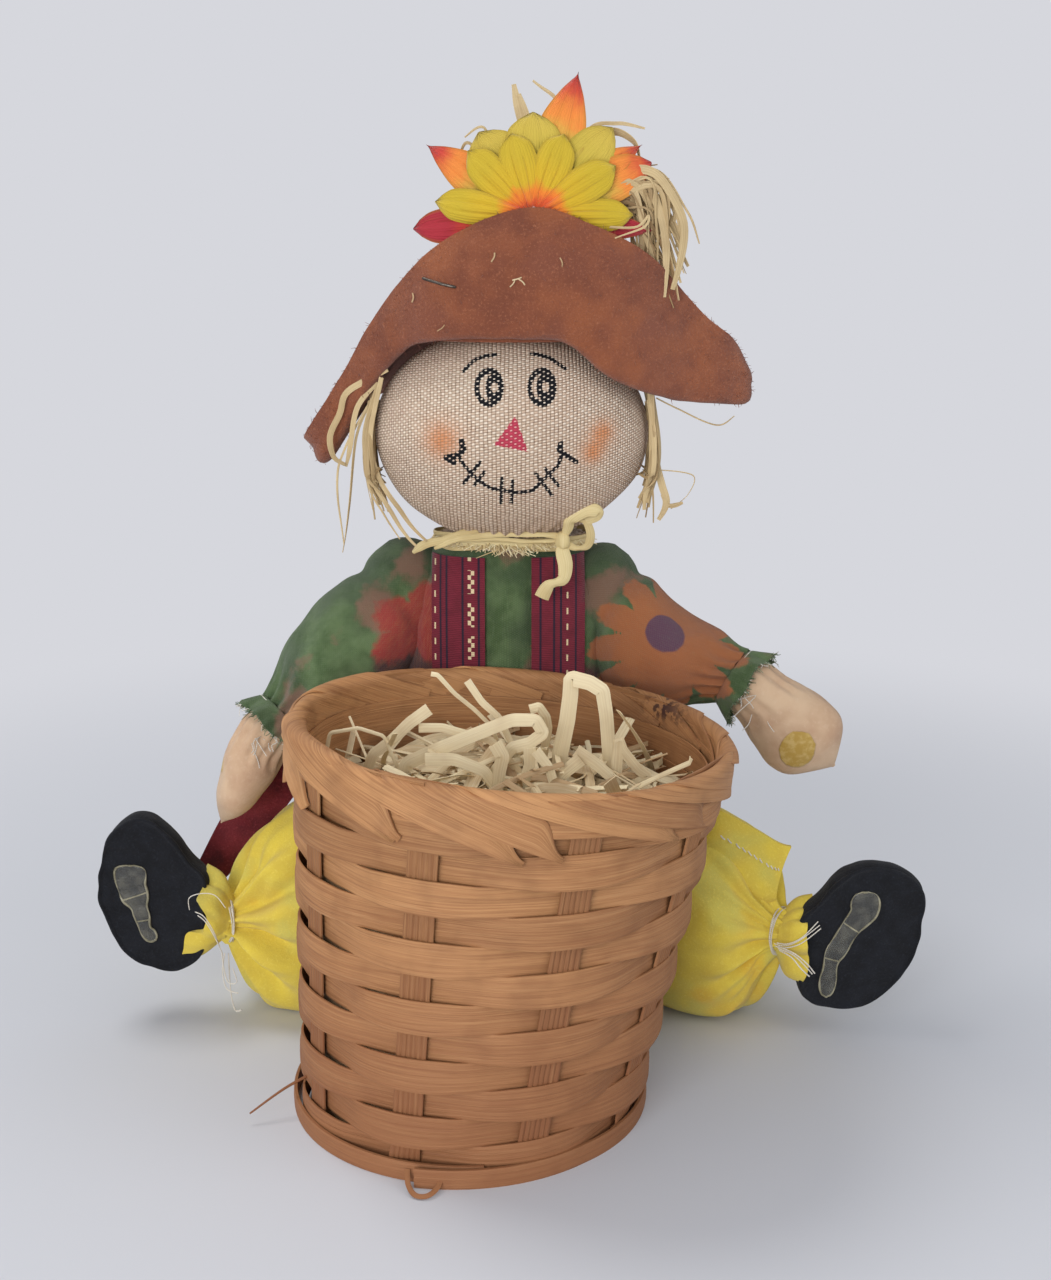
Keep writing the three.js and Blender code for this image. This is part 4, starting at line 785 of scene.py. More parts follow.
def build_seat():
    t = shares(50)
    angle = circle(110)
    wide = spline([0.86, 0.97, 1, 1, 0.96, 0.88], t)
    half_x, half_y = (half * wide for half in SEAT_HALF)
    rows = oblong(SEAT_HEIGHT * t, half_x, half_y, 0 * t, 0 * t, angle, TORSO_POWER)
    gather = 0.8 * np.cos(19 * angle + 2 * noise(rows, 16, 5)) * step(t, 0.6, 1)[:, None]
    folds = 1.2 * noise(rows, 17, 6, 2) * step(t, 0.02, 0.15)[:, None]
    rows = puffed(rows, gather + folds)
    skin = Skin()
    skin.rings(rows)
    made = skin.piece("trouser_seat", YELLOW_FELT, "root", ["trousers_seat"], "trouser_felt")


def build_suspenders():
    for side, x in SUSPENDER_X.items():
        for facing, tail in ((-1, ""), (1, "_back")):
            t = np.linspace(0.1, 0.975, 60)
            across = np.linspace(-0.5, 0.5, 9) * SUSPENDER_WIDTH
            wide, deep, shift = torso_shape(t)
            px = x + across[None, :] + 0 * t[:, None]
            reach = np.abs((px - TORSO_X) / wide[:, None])
            rise = (1 - np.minimum(reach, 0.99) ** TORSO_POWER) ** (1 / TORSO_POWER)
            py = shift[:, None] + facing * (deep[:, None] * rise + GAP + 0.55)
            z = TORSO_LOW + (TORSO_TOP - TORSO_LOW) * t
            rows = np.stack([px, py, np.broadcast_to(z[:, None], px.shape)], -1)
            rows[..., 1] += facing * 0.25 * noise(rows, 13, 8 + x)
            skin = Skin()
            skin.slab(rows, 0.7, np.broadcast_to((0.0, facing, 0.0), rows.shape))
            name = f"{side}_suspender{tail}"
            made = skin.piece(f"{side}_brace{tail}", RIBBONS[side], "root", [name], "suspender_ribbon")


def build_neck():
    """The burlap bag's gathered mouth and its frayed edge."""
    angle = circle(216)
    t = shares(16)
    half_x, half_y = (half - 1.6 + 0 * t for half in NECK_HALF)
    rows = oblong(TORSO_TOP + GAP + NECK_HEIGHT * t, half_x, half_y, 0 * t, NECK_Y + 0 * t, angle, 2)
    pleat = 1.0 * np.cos(27 * angle + 3 * noise(rows, 9, 9)) + 0.4 * noise(rows, 4, 10)
    skin = Skin()
    skin.rings(rows + away(rows) * pleat[..., None])
    plain = {"ink": np.full(len(angle) * len(t), 9.0), "nose": np.full(len(angle) * len(t), 9.0)}
    made = skin.piece("neck_pleats", BURLAP, "root", ["neck_gather"], "burlap", plain)
    fringe = Skin()
    dice = rand(11)
    for place in np.linspace(0, TURN, 700):
        edge = np.array([math.cos(place), math.sin(place), 0])
        out = NECK_HALF[0] * edge[0], NECK_HALF[1] * edge[1]
        start = np.array([out[0], NECK_Y + out[1], TORSO_TOP + dice.uniform(1.4, 4)]) - edge * 0.8
        front = math.exp(-((out[0] + 1) / 9) ** 2) if edge[1] < 0 else 0.0
        length = dice.uniform(0.8, 2) + dice.uniform(2, 4.6) * front
        down = edge * dice.uniform(0.4, 1) + np.array([dice.normal(0, 0.6), dice.normal(0, 0.2), -0.4])
        middle = start + edge * 1.4 + down * length * 0.4
        last = middle + (down + np.array([dice.normal(0, 0.6), 0, -0.3])) * length * 0.5
        fringe.tube(spline([start, middle, last], shares(6)), np.linspace(0.3, 0.13, 6), 4,
                    tone=dice.uniform(-1, 1))
    fringe.piece("neck_fringe", BURLAP_YARN, "root", (), "burlap")


# Each end of the tie: its route across, in front of the neck and up, its width and the way it faces
TIE_KNOT = (18.6, -4.5, 181.6)
TIE_ENDS = (
    (((-36, -2.5, 176.6), (-31.5, -4.5, 180), (-24, -5.2, 182), (-18.6, -5, 184.2), (-12, -4.4, 184.6)),
     2.9, (0.1, -1, 0.3)),
    (((-28, -4.2, 178.4), (-25.6, -5.2, 180), (-18.7, -5.6, 182.4), (-4.1, -5.6, 184), (8, -5.4, 183.8),
      (16.4, -5, 183.2), TIE_KNOT), 2.3, (0, -1, 0.25)),
    (((-20, -4.6, 181.4), (-6, -5, 182.2), (6, -4.8, 181.2), TIE_KNOT), 1.5, (0, -1, 0.5)),
    ((TIE_KNOT, (20.3, -7, 186.2), (21.5, -9.4, 190), (27, -10, 193.4), (31.5, -9.6, 192.8),
      (30.4, -8.4, 191), (26.4, -7.4, 189.4)), 4.4, (0.15, -1, 0.2)),
    (((24, -7.6, 189.5), (27, -7.4, 188.6), (28.6, -6.4, 183.6), (27.2, -5, 179.4), (22.6, -4.4, 178.8),
      TIE_KNOT), 2.9, (0.2, -1, 0.1)),
    ((TIE_KNOT, (18.6, -5.8, 177.6), (19.6, -6.8, 172.6), (18.6, -7.4, 167.6), (13.6, -7.6, 165.4),
      (10.9, -7, 160.6)), 5.0, (0.2, -1, 0.15)),
)


def build_neck_tie():
    skin = Skin()
    dice = rand(12)
    band_z = TORSO_TOP + GAP + NECK_HEIGHT / 2
    around = np.linspace(0, TURN, 90)
    for n, (lift, out, width) in enumerate(((2.2, 2.4, 2.0), (0.4, 2.0, 2.4), (-1.0, 1.6, 2.0))):
        wave = 0.7 * np.sin(around * (2 + n) + n)
        path = np.stack([
            (NECK_HALF[0] + out - 1) * np.cos(around), NECK_Y + (NECK_HALF[1] + out - 1) * np.sin(around),
            band_z + lift + wave], -1)
        face = np.stack([np.cos(around), np.sin(around), 0.25 * np.sin(3 * around + n)], -1)
        uneven = width * (1 + 0.18 * np.sin(5 * around + n))
        skin.ribbon(path, face, uneven, 0.35, 0.3, 5, tone=dice.uniform(-0.5, 0.5))
    front = NECK_Y - NECK_HALF[1]
    knot = np.array(TIE_KNOT) + (0, front, 0)
    skin.blob(knot, (2.6, 2.4, 3.4), wobble=0.25, seed=3)
    t = shares(36)
    for n, (route, width, face) in enumerate(TIE_ENDS):
        path = spline(np.array(route) + (0, front, 0), t)
        pinch = 1 - 0.35 * np.exp(-((t - 0.72) / 0.08) ** 2)
        taper = width * (0.5 + 0.5 * step(t, 0, 0.2)) * (1 + 0.1 * np.sin(9 * t + n)) * pinch
        skin.ribbon(path, face, taper, 0.35, 0.16 * width, 7, tone=dice.uniform(-0.4, 0.3))
    skin.piece("neck_raffia", RAFFIA, "root", ["neck_tie"], "raffia")


# Limbs

def limb(start, end, up, side, ball, neck=0.0, rise=0.0, count=60, sides=72, close=0.0):
    """Rings of a stuffed limb that starts as a ball round a joint. Gives rings, shares and angles."""
    start, end = np.array(start, float), np.array(end, float)
    along = end - start
    length = np.linalg.norm(along)
    along = along / length
    upward = unit(np.array([0, 0, 1]) - along * along[2])
    sideways = np.cross(along, upward)
    lead = np.linspace(-1.45, -0.28, 9)
    t = np.linspace(0, 1, count)
    distance = np.concatenate([ball * np.sin(lead), neck * (1 - t) + length * t])
    half_up = np.concatenate([up[0] * np.cos(lead), spline(up, t)])
    half_side = np.concatenate([side[0] * np.cos(lead), spline(side, t)])
    share = np.clip(distance / length, 0, 1)
    if close:
        lid = np.sqrt(np.clip(1 - step(share, 1 - close, 1) ** 2, 0.0, 1))
        half_up, half_side = half_up * np.maximum(lid, 0.05), half_side * np.maximum(lid, 0.05)
    middle = start + along * distance[:, None] + upward * (rise * np.sin(math.pi * share))[:, None]
    angle = np.arange(sides) / sides * TURN
    rows = (middle[:, None] + upward * (half_up[:, None] * np.cos(angle))[..., None]
            + sideways * (half_side[:, None] * np.sin(angle))[..., None])
    return rows, share[:, None], angle[None, :]


def arm_points(side):
    arm = ARMS[side]
    shoulder = np.array([arm["shoulder"][0], SHOULDER_Y, arm["shoulder"][1]], float)
    wrist = np.array([arm["wrist"][0], WRIST_Y, arm["wrist"][1]], float)
    tip = np.array([arm["tip"][0], WRIST_Y - 4, arm["tip"][1]], float)
    down = unit(wrist - shoulder)
    return shoulder, wrist, tip, down, wrist - down * (CUFF_WIDTH + CUFF_SETBACK)


def build_sleeve(side):
    shoulder, _, _, down, end = arm_points(side)
    swell, last = SLEEVE_SWELL + 0.6, SLEEVE_END_RADIUS - 0.6
    high = [SHOULDER_HIGH[side], swell * 0.92, swell * 0.95, swell * 0.84, last]
    deep = [SHOULDER_RADIUS, swell * 0.82, swell * 0.9, swell * 0.75, last]
    rows, t, angle = limb(shoulder, end, high, deep, SHOULDER_RADIUS, 2, SLEEVE_RISE[side], 80, 110)
    pleat = 1.1 * np.cos(15 * angle + 2.5 * noise(rows, 15, 21)) * step(t, 0.66, 1) ** 1.5
    bend = noise(rows @ np.array([[0.9, 0, 0.5], [0, 1, 0], [-0.5, 0, 0.5]]), 16, 22, 2)
    folds = 1.9 * bend * step(t, 0.1, 0.3) * (1 - 0.5 * step(t, 0.8, 1))
    tuck = -1.6 * np.exp(-((t - 0.16) / 0.05) ** 2) * step(t, 0.02, 0.1)
    rows = puffed(rows, pleat + folds + tuck)
    skin = Skin()
    skin.rings(rows)
    hinge = ("root", f"{side}_arm", (shoulder - down * 4) * MM, (shoulder + down * 22) * MM)
    made = skin.piece(f"{side}_shirt_sleeve", SHIRT, hinge, [f"{side}_sleeve"], "shirt_cotton",
                      shirt_fields(rows))


def build_cuff(side):
    """The sleeve's gathered end: a ruffle, its frayed edge and the thread that ties it."""
    _, _, _, down, end = arm_points(side)
    body = f"{side}_arm"
    upward = unit(np.array([0, 0, 1]) - down * down[2])
    sideways = np.cross(down, upward)
    angle = circle(168)
    t = shares(16)[:, None]
    ruffle = np.cos(8 * angle + 1.2 * np.sin(3 * angle)) + 0.4 * np.cos(19 * angle)
    radius = SLEEVE_END_RADIUS - 0.4 + (CUFF_RADIUS - SLEEVE_END_RADIUS) * t ** 0.7 + 1.0 * ruffle * t
    reach = GAP + 0.86 * CUFF_WIDTH * t + 0.7 * np.sin(5 * angle + 1) * t
    rows = (end + down * reach[..., None] + upward * (radius * np.cos(angle))[..., None]
            + sideways * (radius * np.sin(angle))[..., None])
    cuff = Skin()
    cuff.sleeve(rows, 0.6)
    fields = shirt_fields(np.concatenate(cuff.points))
    made = cuff.piece(f"{side}_ruffle", SHIRT, body, [f"{side}_cuff"], "shirt_cotton", fields)
    dice = rand(31 if side == "left" else 32)
    fray, white = Skin(), Skin()
    for n in range(230):
        start = rows[-1, dice.integers(0, len(angle))]
        out = unit(start - (end + down * 9))
        way = down * dice.uniform(0.4, 1) + out * dice.uniform(0, 0.4) + dice.normal(0, 0.35, 3)
        length = dice.uniform(0.6, 2.4)
        tip = start + (way + dice.normal(0, 0.3, 3)) * length
        path = spline([start - down * 0.5, start + way * length * 0.5, tip], shares(5))
        (white if n % 6 == 0 else fray).tube(path, np.linspace(0.2, 0.1, 5), 4, tone=dice.uniform(-1, 1))
    fray.piece(f"{side}_cuff_fray", GREEN_YARN, body, (), "shirt_cotton")
    white.piece(f"{side}_cuff_ends", THREAD, body, (), "thread")
    tie = Skin()
    around = np.linspace(0, TURN * 3, 150)
    radius = SLEEVE_END_RADIUS + 0.15 + 0.35 * np.sin(around * 2.3)
    drift = GAP + 0.4 + 1.8 * around / (TURN * 3) + 0.4 * np.sin(around * 1.7)
    wound = (end + down * drift[:, None] + upward * (radius * np.cos(around))[:, None]
             + sideways * (radius * np.sin(around))[:, None])
    tie.tube(wound, 0.18, 6, down)
    sign = -1 if side == "left" else 1
    for n in range(6):
        off = [sign * dice.uniform(-4, 8), -SLEEVE_END_RADIUS - 1, dice.uniform(-8, 1)]
        start = end + down * 3 + np.array(off)
        drop = np.array([dice.normal(0, 4), dice.uniform(-4, -1), -dice.uniform(4, 10)])
        path = spline([start, start + drop * 0.4 + dice.normal(0, 2.2, 3), start + drop * 0.7, start + drop],
                      shares(14))
        tie.tube(path, 0.17, 5)
    tie.piece(f"{side}_cuff_thread", THREAD, body, [f"{side}_wrist_thread"], "thread")


# Half sizes of the hands at shares of their length: in the plane of the arm, and across it
HAND_FORM = {
    "left": (0.92, (10.2, 10.6, 8.6, 6.6, 5), (10.2, 12.4, 13, 12, 8)),
    "right": (1.0, (11.6, 14.4, 16.2, 15.4, 12.4), (11.6, 11.6, 11, 9.4, 6.8)),
}

# How far the cloth tips lie from the ends of the arms' lines
HAND_TURN = {"left": (-2, 0, 0), "right": (-2, 0, -5)}


def build_hand(side):
    _, wrist, tip, _, _ = arm_points(side)
    tip = tip + HAND_TURN[side]
    toward = unit(tip - wrist)
    share, high, deep = HAND_FORM[side]
    rows, t, angle = limb(
        wrist, wrist + toward * HAND_LENGTH * share, high, deep, high[0], 3, 0, 70, 84, close=0.42)
    seam = -0.5 * np.exp(-((np.abs(np.cos(angle)) - 1) / 0.004) ** 2) * step(t, 0.2, 0.4)
    pleat = 0.5 * np.cos(13 * angle + 2 * noise(rows, 9, 41)) * (1 - step(t, 0.1, 0.35))
    folds = 0.6 * noise(rows, 14, 42, 2) * step(t, 0.1, 0.3) * (1 - step(t, 0.85, 1))
    rows = puffed(rows, seam + pleat + folds)
    spot = {"left": (-111.5, 96), "right": (105.5, 104)}[side]
    size = {"left": 3.6, "right": 6.6}[side]
    glue = outside_oval(rows[..., (0, 2)], spot, (size, 1.15 * size))
    glue = np.where(rows[..., 1] < wrist[1], glue, UNPRINTED)
    skin = Skin()
    skin.rings(rows)
    made = skin.piece(f"{side}_palm", HAND, f"{side}_hand", [f"{side}_hand"], "hand_cloth", {"glue": glue})


# Each deep crease of a leg: angle round it, how wide, how deep, and the share of its length where it starts
CREASES = {
    "left": ((-1.05, 0.16, 4.5, 0.42), (-1.75, 0.11, 6, 0.5), (-2.35, 0.2, 3, 0.6), (0.2, 0.16, 3, 0.6)),
    "right": ((0.75, 0.18, 3.5, 0.5), (2.1, 0.13, 4, 0.68), (2.6, 0.1, 3.5, 0.72), (1.25, 0.08, 3, 0.8)),
}
LEG_RISE = {"left": 0.5, "right": 4}
PINCH = 8.4                  # radius of a trouser leg where the thread draws it in


def leg_points(side):
    hip, ankle, shoe = (np.array(p, float) for p in (HIP[side], LEGS[side]["ankle"], LEGS[side]["shoe"]))
    return hip, ankle, shoe, unit(ankle - hip), unit(shoe - ankle)


def build_leg(side):
    hip, ankle, _, along, _ = leg_points(side)
    high = [HIP_RADIUS, *(LEG_SWELL_HEIGHT * share for share in (0.62, 0.86, 0.98, 1, 0.94, 0.74)), PINCH]
    deep = [HIP_RADIUS, *(LEG_SWELL_DEPTH * share for share in (0.8, 1, 1, 1, 0.94, 0.76)), PINCH]
    rows, t, angle = limb(hip, ankle - along, high, deep, HIP_RADIUS, 2, LEG_RISE[side], 130, 180)
    seed = 51 if side == "left" else 55
    gather = np.cos(9 * angle + 2.2 * noise(rows, 22, seed))
    gather = gather + 0.5 * np.cos(19 * angle + 2 * noise(rows, 14, seed + 1))
    push = 1.9 * gather * step(t, 0.66, 0.97) * (1 - 0.55 * step(t, 0.95, 1))
    push = push + 2.1 * noise(rows, 26, seed + 2, 2) * step(t, 0.05, 0.3)
    for at, wide, deep_by, begin in CREASES[side]:
        off = (angle - at + math.pi) % TURN - math.pi
        run = step(t, begin, 0.9) * (1 - 0.7 * step(t, 0.93, 1))
        push = push - deep_by * np.exp(-(off / wide) ** 2) * run
    rows = puffed(rows, push)
    rows[..., 2] = np.maximum(rows[..., 2], LEG_CLEARANCE)
    middle = rows[-1].mean(axis=0)
    knob = [middle + (rows[-1] - middle) * math.cos(a) + along * 5 * math.sin(a)
            for a in (0.3, 0.7, 1.1, 1.4)]
    skin = Skin()
    skin.rings(np.concatenate([rows, knob]))
    hinge = ("root", f"{side}_leg", (hip - along * 4) * MM, (hip + along * 22) * MM)
    made = skin.piece(f"{side}_trouser_leg", YELLOW_FELT, hinge, [f"{side}_leg"], "trouser_felt")


# Loose ends of the thread at each ankle, from the ankle's centre
ANKLE_ENDS = {
    "left": (
        ((-10.9, -13, 9), (-10.6, -14, 14), (-6, -15, 16.2), (-0.8, -15, 15.5), (3, -16, 11)),
        ((-8.6, -14, 8.6), (-5, -16, 7.5), (-1.5, -16.5, 1.5), (0.3, -14, -7)),
        ((-7.6, -14.5, 7.4), (-4.4, -16.5, 5.6), (-1.2, -16.5, -0.5), (0.8, -14, -8)),
        ((0, -11, -9), (1, -14, -14), (3, -17, -18), (6.5, -19, -17), (5, -18, -12)),
        ((1, -11, -9), (0.5, -14, -15), (2.5, -18, -20), (7, -20, -21)),
        ((2, -9, -10), (2.8, -12, -24), (4.4, -13, -31), (7, -14, -30.5)),
    ),
    "right": (
        ((-4.4, -11, 0), (-1, -13, 0), (4, -15, 3), (11.5, -13, 8)),
        ((-4.2, -11.5, -0.8), (-1, -13.5, -0.6), (4.5, -15.5, 2), (12, -13, 6.8)),
        ((-3.5, -11.5, 0.5), (0, -13.5, 1), (5, -15, 4.2), (11, -12, 9)),
        ((-3, -11.5, -1.7), (2, -14, -3), (6, -15, -6.5), (9.5, -13, -11)),
        ((-3, -11, -1), (2.5, -14.5, -2.4), (7, -15, -6), (10.5, -12.5, -11)),
        ((-2.5, -11.5, -2.4), (1.5, -14, -4), (5, -15, -8), (8.5, -13, -12)),
    ),
}


def build_ankle_thread(side):
    _, ankle, _, along, _ = leg_points(side)
    upward = unit(np.array([0, 0, 1]) - along * along[2])
    sideways = np.cross(along, upward)
    around = np.linspace(0, TURN * 5, 300)
    radius = PINCH + 0.2 + 0.5 * np.sin(around * 1.7)
    drift = -1.2 + 1.6 * np.abs((around / TURN / 2.5) % 2 - 1) + 0.3 * np.sin(around * 2.3)
    wound = (ankle + along * drift[:, None] + upward * (radius * np.cos(around))[:, None]
             + sideways * (radius * np.sin(around))[:, None])
    tie = Skin()
    tie.tube(wound, 0.22, 6, along)
    for n, route in enumerate(ANKLE_ENDS[side]):
        tie.tube(spline(ankle + np.array(route), shares(20)), 0.18 + 0.015 * n, 6)
    tie.piece(f"{side}_ankle_tie", THREAD, f"{side}_leg", [f"{side}_ankle_thread"], "thread")


# How much of a hem's length each frill shows, and how deep the notch in its front is
FRILL = {"left": (0.84, 0.5), "right": (0.62, 0.1)}

def build_hem(side):
    """The frill of the trouser leg past the tie, which laps over the shoe's edge."""
    _, ankle, _, _, outward = leg_points(side)
    upward = unit(np.array([0, 0, 1]) - outward * outward[2])
    sideways = np.cross(outward, upward)
    angle = circle(200)
    t = shares(24)[:, None]
    lead = 0.0 if side == "left" else 2.0
    share, notch = FRILL[side]
    forward = angle + math.pi / 2 * np.sign(sideways[1])
    forward = np.abs((forward + math.pi) % TURN - math.pi)
    cut = 1 - notch * np.exp(-(forward / 0.42) ** 4)
    ruffle = np.cos(5 * angle + 1.3 * np.sin(2 * angle + lead)) + 0.35 * np.cos(11 * angle + lead)
    squeeze = {"left": 0.94, "right": 0.9 - 0.2 * np.cos(angle)}[side]
    high = spline([PINCH - 1.6, HEM_RADIUS * 0.78, HEM_RADIUS * 0.86], t) * squeeze + 2.2 * ruffle * t ** 0.8
    deep = spline([PINCH - 1.6, HEM_RADIUS * 0.58, HEM_RADIUS * 0.6], t) + 2.0 * ruffle * t ** 0.8
    deep = deep * (0.72 + 0.28 * cut)
    reach = -1.6 + HEM_LENGTH * share * t * cut + 1.1 * np.sin(3 * angle + lead) * t
    rows = (ankle + outward * reach[..., None] + upward * (high * np.cos(angle))[..., None]
            + sideways * (deep * np.sin(angle))[..., None])
    skin = Skin()
    skin.sleeve(rows, 1.6)
    made = skin.piece(f"{side}_frill", YELLOW_FELT, f"{side}_foot", [f"{side}_trouser_hem"], "trouser_felt")


# How far each shoe reaches from its middle, at 16 directions that start at the right and go over the top
SHOE_REACH = {
    "left": (21, 23.8, 23, 27, 33, 29.5, 22.5, 18.8, 17.4, 16.2, 18, 22, 25.5, 29, 28, 23),
    "right": (20.6, 23.5, 30, 31, 30, 26, 23, 24.5, 24, 24.5, 28.5, 27, 24.2, 21.5, 19.2, 19.4),
}
# The dried glue on each sole: across, up and half width, from the middle of the shoe
SOLE_GLUE = {
    "left": ((-5.2, 14.8, 5.6), (-5.2, 7, 5.6), (-3.3, 0.4, 4), (-2, -4.6, 2.6), (-0.6, -11, 2.4),
             (2.8, -14.6, 1.8)),
    "right": ((0.4, 21, 4.4), (0.2, 13.5, 5.2), (-4.4, 7, 3.2), (-7.6, 1, 3.8), (-10.6, -5, 2.8),
              (-11.6, -12, 2.8), (-12.3, -20, 2.4)),
}
SOLE_AT = -SHOE_HALF_DEPTH * 0.45


def build_shoe(side):
    """A stuffed felt shoe whose flat sole faces forward, with a seam round its edge."""
    centre = np.array(LEGS[side]["shoe"], float)
    angle = circle(200)
    edge = closed_spline(SHOE_REACH[side], angle / TURN)
    sole = [(0.02, 0.3), (0.3, 0.1), (0.6, -0.1), (0.85, -0.3), (0.93, -0.4), (0.97, -0.9), (0.995, -0.9), (1.01, -0.3),
            (1.0, 0.4), (0.985, 0.9), (1.0, 1.8), (1.02, 3.6)]
    dome = [(1.02 * math.cos(a), SHOE_HALF_DEPTH * math.sin(a) - SOLE_AT)
            for a in np.linspace(0.02, 1.52, 16)]
    profile = np.array(sole + dome)
    share = spline(profile[:, 0], shares(90))[:, None]
    depth = spline(profile[:, 1], shares(90))[:, None]
    rows = centre + np.stack([
        share * edge * np.cos(angle), SOLE_AT + depth + 0 * angle, share * edge * np.sin(angle)], -1)
    rows = puffed(rows, 0.55 * noise(rows, 9, 61, 2) * step(share, 0.1, 0.9))
    skin = Skin()
    skin.rings(rows)
    made = skin.piece(f"{side}_felt_shoe", BLACK_FELT, f"{side}_foot", [f"{side}_shoe"], "shoe_felt")

    t = shares(44)
    line = spline(SOLE_GLUE[side], t)
    half = line[:, 2] * np.sqrt(np.clip(1 - (2 * t - 1) ** 14, 0.05, 1)) + 0.35 * np.sin(23 * t)
    along = unit(np.gradient(line[:, :2], axis=0))
    across = np.stack([-along[:, 1], along[:, 0]], -1)
    w = np.linspace(-1, 1, 15)
    flat = line[:, None, :2] + across[:, None] * (half[:, None] * w)[..., None]
    raised = SOLE_AT - 0.75 - 0.35 * (1 - w ** 4) + 0.12 * np.sin(31 * t)[:, None]
    patch = centre + np.stack([flat[..., 0], raised, flat[..., 1]], -1)
    clear = Skin()
    clear.slab(patch, 0.3, facing_front(patch))
    clear.piece(f"{side}_sole_glue", CLEAR_GLUE, f"{side}_foot", (), "shoe_felt")
    rim = Skin()
    border = np.concatenate([patch[:, 0], patch[-1, 1:], patch[-2::-1, -1], patch[0, -2::-1]])
    stout = np.maximum(0.3 + 0.34 * noise(border, 4, 62), 0.06)
    rim.tube(border, stout, 6, (0, 1, 0))
    for at in (14, 29):
        rim.tube(patch[at], 0.3, 6, (0, 1, 0))
    rim.piece(f"{side}_sole_glue_edge", PALE_GLUE, f"{side}_foot", (), "shoe_felt")


def build_flap():
    """The flat seam corner of the right trouser leg, with a line of hand stitches."""
    t = shares(60)[:, None]
    down = shares(34)[None, :]
    top = [(62, -40, 83), (75, -47.5, 84), (88, -49, 77.5), (98, -51, 72), (102.6, -51, 70.6)]
    low = [(62, -43, 60), (74, -50, 58.5), (83, -52.5, 53), (91, -52.5, 46.5), (97.4, -53, 47)]
    top, low = (spline(edge, t[:, 0]) for edge in (top, low))
    rows = top[:, None] + (low - top)[:, None] * down[..., None]
    swell = np.sin(math.pi * down) * (1 - 0.6 * t)
    rows[..., 1] += -2.4 * swell + 0.9 * noise(rows, 15, 71, 2)
    rows[..., 0] -= 1.6 * np.sin(math.pi * down) * step(t, 0.8, 1)
    hem = step(down, 0.72, 1)
    rows[..., 1] += 3.2 * hem ** 2
    skin = Skin()
    skin.slab(rows, 1.8, facing_front(rows))
    made = skin.piece("stitched_corner", YELLOW_FELT, "right_leg", ["right_trouser_flap"], "trouser_felt")
    stitches = Skin()
    for n, at in enumerate(np.linspace(0.3, 0.84, 11)):
        i, j = int(at * 59), int(33 * (0.34 + 0.02 * (n % 2)))
        a, b = rows[i, j] - (0, 1.15, 0), rows[min(i + 2, 59), j + 1] - (0, 1.15, 0)
        middle = (a + b) / 2 - (0, 0.25, 0)
        stitches.tube(spline([a + (0, 0.5, 0), middle, b + (0, 0.5, 0)], shares(7)), 0.28, 6)
    stitches.piece("corner_stitches", THREAD, "right_leg", (), "thread")


def build_tail():
    route = [(-60, -8, 99), (-76, -8, 97.6), (-89.5, -8.5, 86), (-102.5, -9.5, 68.4), (-118, -12, 46.5)]
    t = shares(50)
    path = spline(route, t)
    width = TAIL_WIDTH * spline([1, 1.2, 1.45, 1.5, 1.36, 0.95], t)
    path[:, 1] += 0.8 * np.sin(5 * t)
    skin = Skin()
    skin.ribbon(path, (0.1, -1, 0.1), width, 2.2, 0.6, 9)
    made = skin.piece("maroon_tail", MAROON_FELT, "left_leg", ["felt_tail"], "tail_felt")


# Basket

def wall(angle, s, offset=0.0):
    """Points of the basket's wall at an angle round it, a share of its height and an offset outward."""
    angle, s, offset = np.broadcast_arrays(np.asarray(angle, float), s, offset)
    radius = BASKET_FOOT_RADIUS + (BASKET_TOP_RADIUS - BASKET_FOOT_RADIUS) * s + offset
    height = s * (BASKET_HEIGHT - BASKET_DROP * radius * np.cos(angle))
    middle = BASKET_LEAN * (s - 1)
    return np.stack([middle + radius * np.cos(angle), BASKET_Y + radius * np.sin(angle), height], -1)


def outward(angle):
    return np.stack([np.cos(angle), np.sin(angle), 0 * angle], -1)


def stake_angle(index):
    return -math.pi / 2 - math.pi / STAKES + index / STAKES * TURN


def grooved(skin, path, facing, width, thickness, strands, depth, tone=0.0, bow=0.0):
    """A flat splint that is split lengthwise into fine strands, so that grooves run along it."""
    path = np.asarray(path, float)
    along = unit(np.gradient(path, axis=0))
    across = unit(np.cross(along, facing))
    out = np.cross(across, along)
    w = np.linspace(-1, 1, 4 * strands + 1)
    ridge = depth * (np.abs(np.sin(math.pi * strands * (w + 1) / 2)) ** 0.5 - 1) - bow * w ** 2
    half = np.broadcast_to(np.asarray(width, float) / 2, len(path))[:, None, None]
    flat = path[:, None] + across[:, None] * half * w[:, None]
    front = flat + out[:, None] * (thickness / 2 + ridge)[:, None]
    back = flat - out[:, None] * (thickness / 2 + bow * w[:, None] ** 2)
    u = w * float(np.max(half))
    both = np.concatenate([front, back[:, ::-1]], axis=1)
    skin.rings(both, u=np.concatenate([u, u[::-1], u[:1]]), tone=tone)


def build_stakes():
    skin = Skin()
    dice = rand(81)
    for n in range(STAKES):
        angle = stake_angle(n)
        out = outward(np.array(angle))
        under = [wall(angle, 0) * (1, 1, 0) + out * (share - 1) * BASKET_FOOT_RADIUS + (0, 0, FLOOR_Z)
                 for share in (-0.05, 0.4, 0.8, 0.93)]
        side = [wall(angle, s) for s in np.linspace(0.07, 1.03, 34)]
        path = np.array(under + [wall(angle, 0.03) + (0, 0, 1.2)] + side)
        path = spline(path, shares(90))
        lean = step(path[:, 2], FLOOR_Z, 12)[:, None]
        facing = unit(out * lean + np.array([0, 0, -1]) * (1 - lean))
        grooved(skin, path, facing, STAKE_WIDTH, STAKE_THICKNESS, 6, 0.36, dice.uniform(-0.75, -0.2))
    skin.piece("stakes", SPLINT, "root", ["basket_stakes"], "splint")


